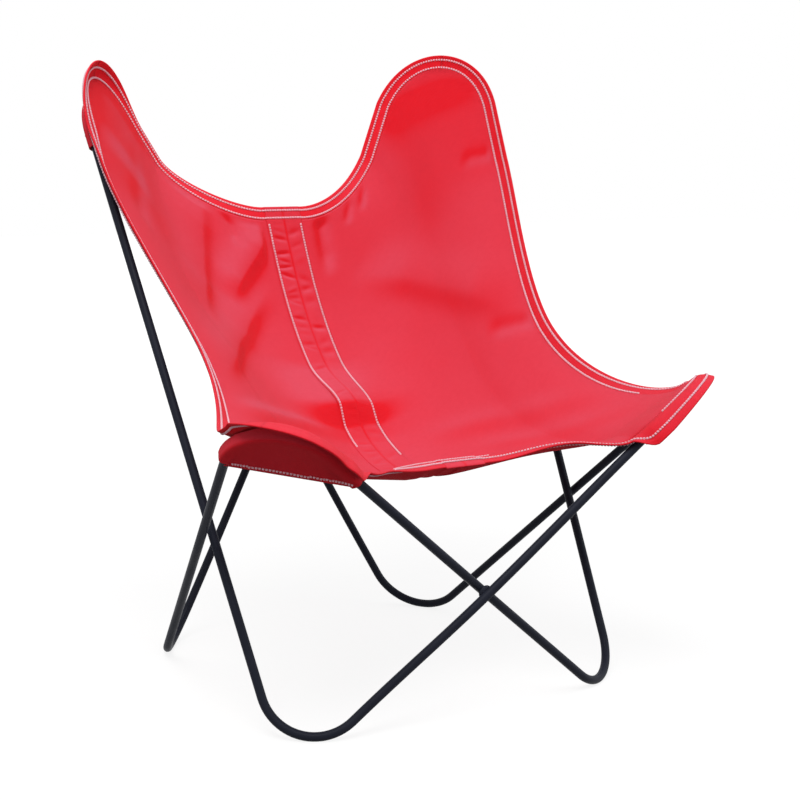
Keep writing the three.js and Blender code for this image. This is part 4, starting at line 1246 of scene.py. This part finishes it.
def strip_end(hem, way, curl):
    """Turned end of the strip: places and heights from underneath, round the fold at the cut edge, to the
    upper side."""
    turn = np.linspace(math.pi, 0, END_STEPS + 1)
    flat = np.linspace(0, 1, END_STEPS + 1) * (HEM_WIDTH - STRIP_FOLD / 2)
    reach = np.concatenate([flat[:-1], flat[-1] + STRIP_FOLD * np.sin(turn), flat[-2:0:-1]])
    under, over = np.full(END_STEPS, -2.0), np.zeros(END_STEPS - 1)
    height = np.concatenate([under, np.cos(turn) - 1, over]) * STRIP_FOLD
    return hem + way * reach[:, None], height + curl * (reach / HEM_WIDTH) ** 2


def strip_mesh(settings):
    """Middle strip on a grid along and across the seam, laid on the two panels, with a turned end at both
    hems. Each row is the seam's place, moved across by x and up by the wrinkles, the fold and the lap."""
    x = np.linspace(-STRIP_HALF, STRIP_HALF, STRIP_COLUMNS)
    v = np.linspace(0, 1, STRIP_ROWS)
    back_way, front_way = slope(90 - BACK_LEAN), slope(-FRONT_RISE)
    top, top_height = strip_end(TOP_HEM, -back_way, 0)
    front, front_height = strip_end(FRONT_HEM, front_way, LIP_CURL)
    line = np.concatenate([top, seam_at(v), front[::-1]])
    ends = np.zeros(len(top))
    ways = np.concatenate([np.tile(back_way, (len(top), 1)), seam_way(v), np.tile(front_way, (len(top), 1))])
    height = np.concatenate([top_height, 0 * v, front_height[::-1]])
    within = np.concatenate([ends, 1 + 0 * v, ends])[:, None]
    share = np.concatenate([ends, v, ends + 1])[:, None]
    s = lengths_along(line)
    s = s - s[len(top)] + HEM_WIDTH
    rise = strip_wrinkles(s[:, None], x[None], settings.pucker / MM)
    rise = (rise * ramp(s, WRINKLE_START, WRINKLE_GROWN)[:, None] + seam_fold(share, x[None])) * within
    lap = CLOTH * ramp(STRIP_HALF - np.abs(x), 0, STRIP_EDGE)[None] * STRIP_CROWN + STRIP_LIFT
    lift = upward(ways)[:, None] * (rise + lap + height[:, None])[..., None]
    grid = line[:, None] + x[None, :, None] * CROSS + lift
    depth = np.minimum(s, SEAM_LENGTH + 2 * HEM_WIDTH - s)[:, None] + 0 * x
    # Painted light and shade on the flanks of the wrinkles and the fold, and painted shade in the groove.
    steepness = np.gradient(rise, axis=0) / np.gradient(s)[:, None]
    painted_light = np.clip(STRIP_PAINTED_CONTRAST * steepness, -1, 1) * within - GROOVE_PAINTED_SHADE * groove(x)
    uv = np.stack(np.broadcast_arrays(x[None], s[:, None]), axis=-1)
    return grid, place_facts(uv, s[:, None] + 0 * x, depth, painted_light)


def make_strip():
    """Strip of canvas down the middle, with its thickness."""
    grid, facts = strip_mesh(bpy.context.scene.chair_cloth)
    points, values = grid.reshape(-1, 3), facts.reshape(-1, 5)
    faces = grid_faces(*grid.shape[:2])
    faces = facing_sitter(points, faces, np.ones(len(faces), bool))
    piece = new_piece("canvas_seam_strip", points, faces, canvas_material(), values)
    thicken(piece)
    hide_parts("centre_seam_strip", "top_edge_facing", "front_edge_facing")
    return piece


def pocket_grid(half, end):
    """Second layer of a lobe: from its seam along the hem it wraps the rod and runs to a straight mouth. Each
    station of the lobe gives a section through points at set distances from the rod, joined by a smooth
    curve."""
    near, far = np.linspace(0, 0.5, POCKET_STEPS), np.linspace(0.5, 1, POCKET_STEPS)
    if end == "back":
        bend = half.back
        mouth_runs = (bend.to_second, BACK_POCKET_INNER), (bend.to_first, BACK_POCKET_OUTER[half.side])
        lines = [half.top.at(far), half.outer.at(near[1:])]
        limits = (BACK_POCKET_INNER + HEM_WIDTH, BACK_POCKET_OUTER[half.side] + HEM_WIDTH)
        runs = (bend.to_second, bend.to_first)
    else:
        bend = half.front
        mouth_runs = (bend.to_first, FRONT_POCKET_SIDE), (bend.to_second, FRONT_POCKET_INNER[half.side])
        lip = [column[::-1] for column in half.lip.at(far)]
        lines = [half.outer.at(far), [column[1:] for column in lip]]
        limits = (FRONT_POCKET_SIDE - 4 * EASE, FRONT_POCKET_END[half.side])
        runs = (bend.to_first, bend.to_second)
    kept = []
    for line, along, limit in zip(lines, runs, limits):
        run = dot(line[0] - bend.corner, along)
        kept.append([column[run <= limit] for column in line])
    edge, _, _, curl = [np.concatenate(columns) for columns in zip(*kept)]
    place, out, over = bend.nearest(edge)
    hang = 2 * CLOTH + 6 * GAP
    clear = POCKET_DROP + 2 * EASE
    share = np.maximum(0, (clear - over + HEM_WIDTH) / HEM_WIDTH)
    tilt = 2 * curl * share / HEM_WIDTH
    lean = np.sqrt(1 + tilt**2)
    hug = POCKET_DROP - EASE / 2
    edge_out = np.clip(over + 4 * EASE, 0, 0.9 * hug)
    sewn = over > clear
    first_out = np.where(sewn, over - HEM_WIDTH * (1 - share) + hang * tilt / lean, edge_out)
    first_up = np.where(sewn, CLOTH_LIFT + curl * share**2 - hang / lean, np.sqrt(hug**2 - edge_out**2))
    halfway = (first_out + POCKET_WRAP[0][0]) / 2
    second_out = np.where(sewn, halfway, halfway + EASE)
    second_up = np.where(sewn, first_up / 2, 0.6 * POCKET_DROP)
    section = [(first_out, first_up), (second_out, second_up)]
    section += [(a + 0 * over, b + 0 * over) for a, b in POCKET_WRAP]
    rows = [place + out * a[:, None] + bend.normal * b[:, None] for a, b in section]
    ends = [bend.corner + along * run - bend.normal * (POCKET_DROP + GAP) for along, run in mouth_runs]
    target = blend(ends[0], ends[1], np.linspace(0, 1, len(over)))
    rows += [blend(rows[5], target, np.full(len(over), share)) for share in (0.25, 0.5, 0.75, 1.0)]
    return curved_rows(np.stack(rows, axis=1), POCKET_CURVE_STEPS), bend


def curved_rows(control, steps):
    """Smooth curve through each row of control points, with its slopes from the neighbours of each point."""
    count = control.shape[1]
    place = np.linspace(0, count - 1, (count - 1) * steps + 1)
    index = np.minimum(place.astype(int), count - 2)
    t = (place - index)[None, :, None]
    before, after = np.maximum(index - 1, 0), np.minimum(index + 2, count - 1)
    a, b, c, d = control[:, before], control[:, index], control[:, index + 1], control[:, after]
    return 0.5 * (2 * b + (c - a) * t + (2 * a - 5 * b + 4 * c - d) * t**2 + (3 * b - a - 3 * c + d) * t**3)


def make_pocket(side, end):
    """Pocket of one lobe, with its flat size and its area."""
    half = HALVES[side]
    grid, bend = pocket_grid(half, end)
    points = half.placed(grid.reshape(-1, 3))
    along, across = lengths_along(grid), lengths_across(grid)
    depth = across[:, -1:] - across
    facts = place_facts(np.stack([across, along], axis=-1), along[:, -1:] + 0 * along, depth + MOUTH_INSET)
    faces = grid_faces(*grid.shape[:2])
    normals, _ = face_normals(points, faces)
    if dot(normals, half.placed(bend.normal)).sum() > 0:
        faces = faces[:, ::-1]
    piece = new_piece(
        f"{end}_{side}_canvas_pocket", points, faces, canvas_material(), facts.reshape(-1, 5),
    )
    thicken(piece)
    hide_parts(f"{end}_{side}_pocket")
    return piece, *POCKET_FLAT[side, end]


def stitch_mesh(line, up, settings):
    """Row of stitches: short flattened tubes along a line, each a ring carried through four places and arched
    so that its ends sink into the cloth."""
    pitch, width = settings.pitch / MM, settings.width / MM
    lengths = lengths_along(line)
    count = max(1, int(lengths[-1] / pitch))
    places = (np.arange(count) + 0.5)[:, None] * lengths[-1] / count + STITCH_RINGS[None] * pitch
    centres = sampled(line, lengths, places)
    ups = unit(sampled(up, lengths, places))
    ways = unit(centres[:, -1:] - centres[:, :1])
    sides = unit(np.cross(ways, ups))
    lift = (STITCH_LIFT * width)[None, :, None]
    girth = (STITCH_GIRTH * width / 2)[None, :, None]
    angle = np.linspace(0, 2 * math.pi, STITCH_SIDES, endpoint=False)
    wide = sides[:, :, None] * (girth * np.cos(angle))[..., None]
    tall = ups[:, :, None] * (girth * STITCH_FLATNESS * np.sin(angle) + lift)[..., None]
    points = centres[:, :, None] + wide + tall
    body = grid_faces(len(STITCH_RINGS), STITCH_SIDES, closed_columns=True)
    cap = np.array([[3, 2, 1, 0], [5, 4, 3, 0]])
    size = len(STITCH_RINGS) * STITCH_SIDES
    one = np.concatenate([body, cap, size - STITCH_SIDES + cap[:, ::-1]])
    faces = (np.arange(count)[:, None, None] * size + one[None]).reshape(-1, 4)
    return points.reshape(-1, 3), faces


def joined(meshes):
    """One list of points and one of faces from several."""
    starts = np.cumsum([0] + [len(points) for points, _ in meshes])
    points = np.concatenate([points for points, _ in meshes])
    return points, np.concatenate([faces + start for (_, faces), start in zip(meshes, starts)])


def outward_faces(points, faces):
    """Faces of closed shells turned so that their volume counts as positive."""
    corners = points[faces]
    volume = dot(corners[:, 0], np.cross(corners[:, 1], corners[:, 2])).sum()
    volume += dot(corners[:, 0], np.cross(corners[:, 2], corners[:, 3])).sum()
    return faces if volume > 0 else faces[:, ::-1]


def make_stitches(name, rows, node):
    """One piece from rows of stitches, in place of one thread of the part."""
    settings = bpy.context.scene.chair_stitches
    points, faces = joined([stitch_mesh(line, up, settings) for line, up in rows])
    faces = outward_faces(points - points.mean(0), faces)
    piece = new_piece(name, points, faces, thread_material())
    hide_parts(node)
    return piece


def hem_row(half, line, share, first=0.0, last=1.0, under=False):
    """Line of stitches along a hem at a share of its width, on its upper side or underneath."""
    places = np.linspace(first, last, ROW_STEPS)
    at, up = half.hem(line, places, np.full(ROW_STEPS, share))
    lift = -(2 * CLOTH + GAP - CLOTH / 2) if under else CLOTH / 2
    at = at + up * lift
    return half.placed(at), half.placed(-up if under else up)


def across_row(name, share, ends=WHOLE_ROW, under=False):
    """Line of stitches along the top or front hem and across the middle strip, to each half's own end."""
    (left, left_up), (right, right_up) = [
        hem_row(half, getattr(half, name), share, 0.0, ends[side], under) for side, half in HALVES.items()
    ]
    middle_up = np.linspace(left_up[0], right_up[0], MIDDLE_STEPS)[1:-1]
    strip_lift = 1.4 if under else 1.1
    middle = np.linspace(left[0], right[0], MIDDLE_STEPS)[1:-1] + middle_up * strip_lift
    return np.concatenate([left[::-1], middle, right]), np.concatenate([left_up[::-1], middle_up, right_up])


def seam_row(side):
    """Line of stitches along one edge of the middle strip: a column of its grid, raised to its upper face."""
    grid, _ = strip_mesh(bpy.context.scene.chair_cloth)
    x = np.linspace(-STRIP_HALF, STRIP_HALF, STRIP_COLUMNS)
    column = int(np.argmin(np.abs(x - SIGN[side] * SEAM_STITCH)))
    ups = grid_normals(grid)
    ups = ups * np.sign(dot(ups, SEAT_SIDE - grid))[..., None]
    first = (len(grid) - STRIP_ROWS) // 2 + SEAM_ROW_START
    rows = slice(first, first + int(SEAM_ROW_END[side] * STRIP_ROWS))
    return grid[rows, column] + ups[rows, column] * CLOTH / 2, ups[rows, column]


def mouth_row(side, end):
    """Line of stitches along a pocket's mouth, on the side away from the sitter."""
    half = HALVES[side]
    grid, bend = pocket_grid(half, end)
    across = lengths_across(grid)
    place = np.argmin(np.abs(across[:, -1:] - across - MOUTH_STITCH), axis=1)
    keep = slice(MOUTH_ROW_MARGIN, -MOUTH_ROW_MARGIN)
    line = grid[np.arange(len(grid)), place][keep]
    up = grid_normals(grid)[np.arange(len(grid)), place][keep]
    up = up * -np.sign(dot(up, bend.normal))[:, None]
    return half.placed(line + up * CLOTH / 2), half.placed(up)


class CHAIR_OT_rods(bpy.types.Operator):
    """Sweep the two bent rods and paint them and their welds"""

    bl_idname = "chair.rods"
    bl_label = "Bent rods"

    def execute(self, context):
        for name, line in (("frame_loop_a", LOOP_A), ("frame_loop_b", LOOP_B)):
            grid = tube(line, ROD_RADIUS, ROD_SIDES)
            grid[..., 2] = np.maximum(grid[..., 2], 0)
            faces = grid_faces(*grid.shape[:2], closed_rows=True, closed_columns=True)
            points = grid.reshape(-1, 3)
            normals, places = face_normals(points, faces)
            hubs = np.repeat(line, ROD_SIDES, axis=0)
            if dot(normals, places - hubs).sum() < 0:
                faces = faces[:, ::-1]
            rod = name.replace("frame_loop", "bent_rod")
            piece = new_piece(rod, points, faces, paint_material())
            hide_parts(name)
        for name in ("front_cross_weld", "rear_cross_weld"):
            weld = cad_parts[name]
            weld.data.materials.clear()
            weld.data.materials.append(paint_material())
        return {"FINISHED"}


class CHAIR_OT_sling(bpy.types.Operator):
    """Make the two panels of the sling and the strip that joins them"""

    bl_idname = "chair.sling"
    bl_label = "Sling panels"

    def execute(self, context):
        panels = [make_panel(side) for side in HALVES]
        strip = make_strip()
        return {"FINISHED"}


class CHAIR_OT_pockets(bpy.types.Operator):
    """Make the pocket of each lobe"""

    bl_idname = "chair.pockets"
    bl_label = "Pockets"

    def execute(self, context):
        for side, loops in (("left", {"back": "frame_loop_a", "front": "frame_loop_b"}),
                            ("right", {"back": "frame_loop_b", "front": "frame_loop_a"})):
            for end, loop in loops.items():
                piece, size, area = make_pocket(side, end)
        return {"FINISHED"}


class CHAIR_OT_stitching(bpy.types.Operator):
    """Sew the hems, the middle strip and the mouths of the pockets"""

    bl_idname = "chair.stitching"
    bl_label = "Stitching"

    def execute(self, context):
        right = HALVES["right"]
        lobe = hem_row(right, right.lip, INNER_SHARE, LIP_LOBE_START)
        rows = {
            "top_outer": [across_row("top", OUTER_SHARE), across_row("top", OUTER_SHARE, under=True)],
            "top_inner": [across_row("top", INNER_SHARE)],
            "front_outer": [
                across_row("lip", OUTER_SHARE, LIP_OUTER_END), across_row("lip", OUTER_SHARE, under=True),
            ],
            "front_inner": [across_row("lip", INNER_SHARE, LIP_INNER_END), lobe],
        }
        for side, half in HALVES.items():
            rows[f"{side}_outer"] = [
                hem_row(half, half.outer, OUTER_SHARE, 0.0, SIDE_OUTER_END[side]),
                hem_row(half, half.outer, OUTER_SHARE, under=True),
            ]
            rows[f"{side}_inner"] = [hem_row(half, half.outer, INNER_SHARE, 0.0, SIDE_INNER_END[side])]
            rows[f"{side}_seam"] = [seam_row(side)]
            for end in ("back", "front"):
                rows[f"{end}_{side}_mouth"] = [mouth_row(side, end)]
        for name, lines in rows.items():
            make_stitches(f"{name}_stitches", lines, f"{name}_stitching")
        return {"FINISHED"}


def area_lamp(name, place, target, size, power, colour):
    """Round lamp at a place, turned to a target."""
    lamp = bpy.data.lights.new(name, "AREA")
    lamp.shape = "DISK"
    lamp.size = size
    lamp.energy = power
    lamp.color = colour
    lamp_object = bpy.data.objects.new(name, lamp)
    way = unit(np.array(target) - np.array(place))
    right = unit(np.cross(way, UP))
    lamp_object.matrix_world = view_matrix(np.array(place), way, right)
    bpy.context.scene.collection.objects.link(lamp_object)


def view_matrix(place, way, right):
    """Matrix of a lamp or camera at a place, from the way that it looks and its right-hand side."""
    up = np.cross(right, way)
    matrix = np.eye(4)
    matrix[:3, 0], matrix[:3, 1], matrix[:3, 2], matrix[:3, 3] = right, up, -way, place
    return Matrix(matrix.tolist())


def bright_for_lens(nodes, links):
    """One for rays from the lens and for mirrored ones, nought for the rest."""
    path = nodes.new("ShaderNodeLightPath")
    seen = math_node(nodes, links, "MAXIMUM", path.outputs["Is Camera Ray"], path.outputs["Is Glossy Ray"])
    return math_node(nodes, links, "MAXIMUM", seen, path.outputs["Is Transmission Ray"])


class CHAIR_OT_studio(bpy.types.Operator):
    """Set the floor, the light and the camera"""

    bl_idname = "chair.studio"
    bl_label = "Studio"

    def execute(self, context):
        settings = context.scene.chair_studio
        self.make_floor(settings)
        self.make_world(context, settings)
        area_lamp("Key", (-1.1, -1.2, 3.3), (0, 0, 0.45), 2.2, settings.key, (1.0, 0.99, 0.98))
        area_lamp("Fill", (2.6, -1.8, 1.6), (0, 0, 0.45), 2.4, settings.fill, (0.95, 0.97, 1.0))
        self.make_camera(context)
        context.scene.view_settings.view_transform = "Standard"
        return {"FINISHED"}

    def make_floor(self, settings):
        """Level grid of squares, which looks paler further out."""
        t = np.linspace(-FLOOR_HALF, FLOOR_HALF, FLOOR_POINTS)
        x, y = np.meshgrid(t, t)
        points = np.stack([x, y, 0 * x], axis=-1).reshape(-1, 3)
        faces = grid_faces(FLOOR_POINTS, FLOOR_POINTS)[:, ::-1]
        mesh = bpy.data.meshes.new("Floor")
        mesh.from_pydata(points.tolist(), [], faces.tolist())
        mesh.update()
        floor = bpy.data.objects.new("Floor", mesh)
        bpy.context.scene.collection.objects.link(floor)
        material, nodes, links, shader = new_material("Floor")
        shader.inputs["Base Color"].default_value = (*settings.floor, 1)
        shader.inputs["Roughness"].default_value = 0.9
        shader.inputs["Specular IOR Level"].default_value = 0.1
        glow = nodes.new("ShaderNodeEmission")
        seen = bright_for_lens(nodes, links)
        place = nodes.new("ShaderNodeTexCoord")
        away = nodes.new("ShaderNodeVectorMath")
        away.operation = "LENGTH"
        links.new(place.outputs["Object"], away.inputs[0])
        white = mapped(nodes, links, away.outputs["Value"], 0.8, 3.5, 0.84, 1.0)
        links.new(math_node(nodes, links, "MULTIPLY", seen, white), glow.inputs["Strength"])
        add = nodes.new("ShaderNodeAddShader")
        links.new(shader.outputs[0], add.inputs[0])
        links.new(glow.outputs[0], add.inputs[1])
        links.new(add.outputs[0], nodes["Material Output"].inputs["Surface"])
        mesh.materials.append(material)

    def make_world(self, context, settings):
        """White all round for the lens and for mirrored rays, and the strength of the sky for the rest."""
        world = bpy.data.worlds.new("Studio")
        world.use_nodes = True
        nodes, links = world.node_tree.nodes, world.node_tree.links
        background = nodes["Background"]
        background.inputs["Color"].default_value = (1, 1, 1, 1)
        seen = bright_for_lens(nodes, links)
        rest = math_node(nodes, links, "SUBTRACT", 1.0, seen)
        rest = math_node(nodes, links, "MULTIPLY", rest, settings.sky)
        links.new(math_node(nodes, links, "ADD", seen, rest), background.inputs["Strength"])
        context.scene.world = world

    def make_camera(self, context):
        """Camera of the photograph: its place, the way that it looks, its small roll and its lens."""
        camera = bpy.data.cameras.new("Camera")
        camera.sensor_width = 36.0
        camera.lens = LENS
        camera.clip_end = 50
        camera_object = bpy.data.objects.new("Camera", camera)
        way = unit(LOOK)
        level = unit(np.cross(way, UP))
        roll = math.radians(ROLL)
        right = level * math.cos(roll) + np.cross(level, way) * math.sin(roll)
        camera_object.matrix_world = view_matrix((EYE + SHIFT) * MM, way, right)
        context.scene.collection.objects.link(camera_object)
        context.scene.camera = camera_object


class CHAIR_PT_panel(bpy.types.Panel):
    """Lists the pieces of the chair and their settings"""

    bl_label = "Butterfly Sling Chair"
    bl_idname = "CHAIR_PT_panel"
    bl_space_type = "VIEW_3D"
    bl_region_type = "UI"
    bl_category = "Chair"

    def draw(self, context):
        scene = context.scene
        for settings, operators in (
            (scene.chair_rods, [CHAIR_OT_rods]),
            (scene.chair_cloth, [CHAIR_OT_sling, CHAIR_OT_pockets]),
            (scene.chair_stitches, [CHAIR_OT_stitching]),
            (scene.chair_studio, [CHAIR_OT_studio]),
        ):
            box = self.layout.box()
            for name in settings.__annotations__:
                box.prop(settings, name)
            for operator in operators:
                box.operator(operator.bl_idname)


SETTINGS = {
    "chair_rods": RodSettings,
    "chair_cloth": ClothSettings,
    "chair_stitches": StitchSettings,
    "chair_studio": StudioSettings,
}
CLASSES = (
    *SETTINGS.values(), CHAIR_OT_rods, CHAIR_OT_sling, CHAIR_OT_pockets, CHAIR_OT_stitching, CHAIR_OT_studio,
    CHAIR_PT_panel,
)


def register():
    for cls in CLASSES:
        bpy.utils.register_class(cls)
    for name, cls in SETTINGS.items():
        setattr(bpy.types.Scene, name, PointerProperty(type=cls))


def unregister():
    for name in SETTINGS:
        delattr(bpy.types.Scene, name)
    for cls in reversed(CLASSES):
        bpy.utils.unregister_class(cls)


def main():
    register()
    bpy.ops.chair.rods()
    bpy.ops.chair.sling()
    bpy.ops.chair.pockets()
    bpy.ops.chair.stitching()
    bpy.ops.chair.studio()


if __name__ == "__main__":
    main()
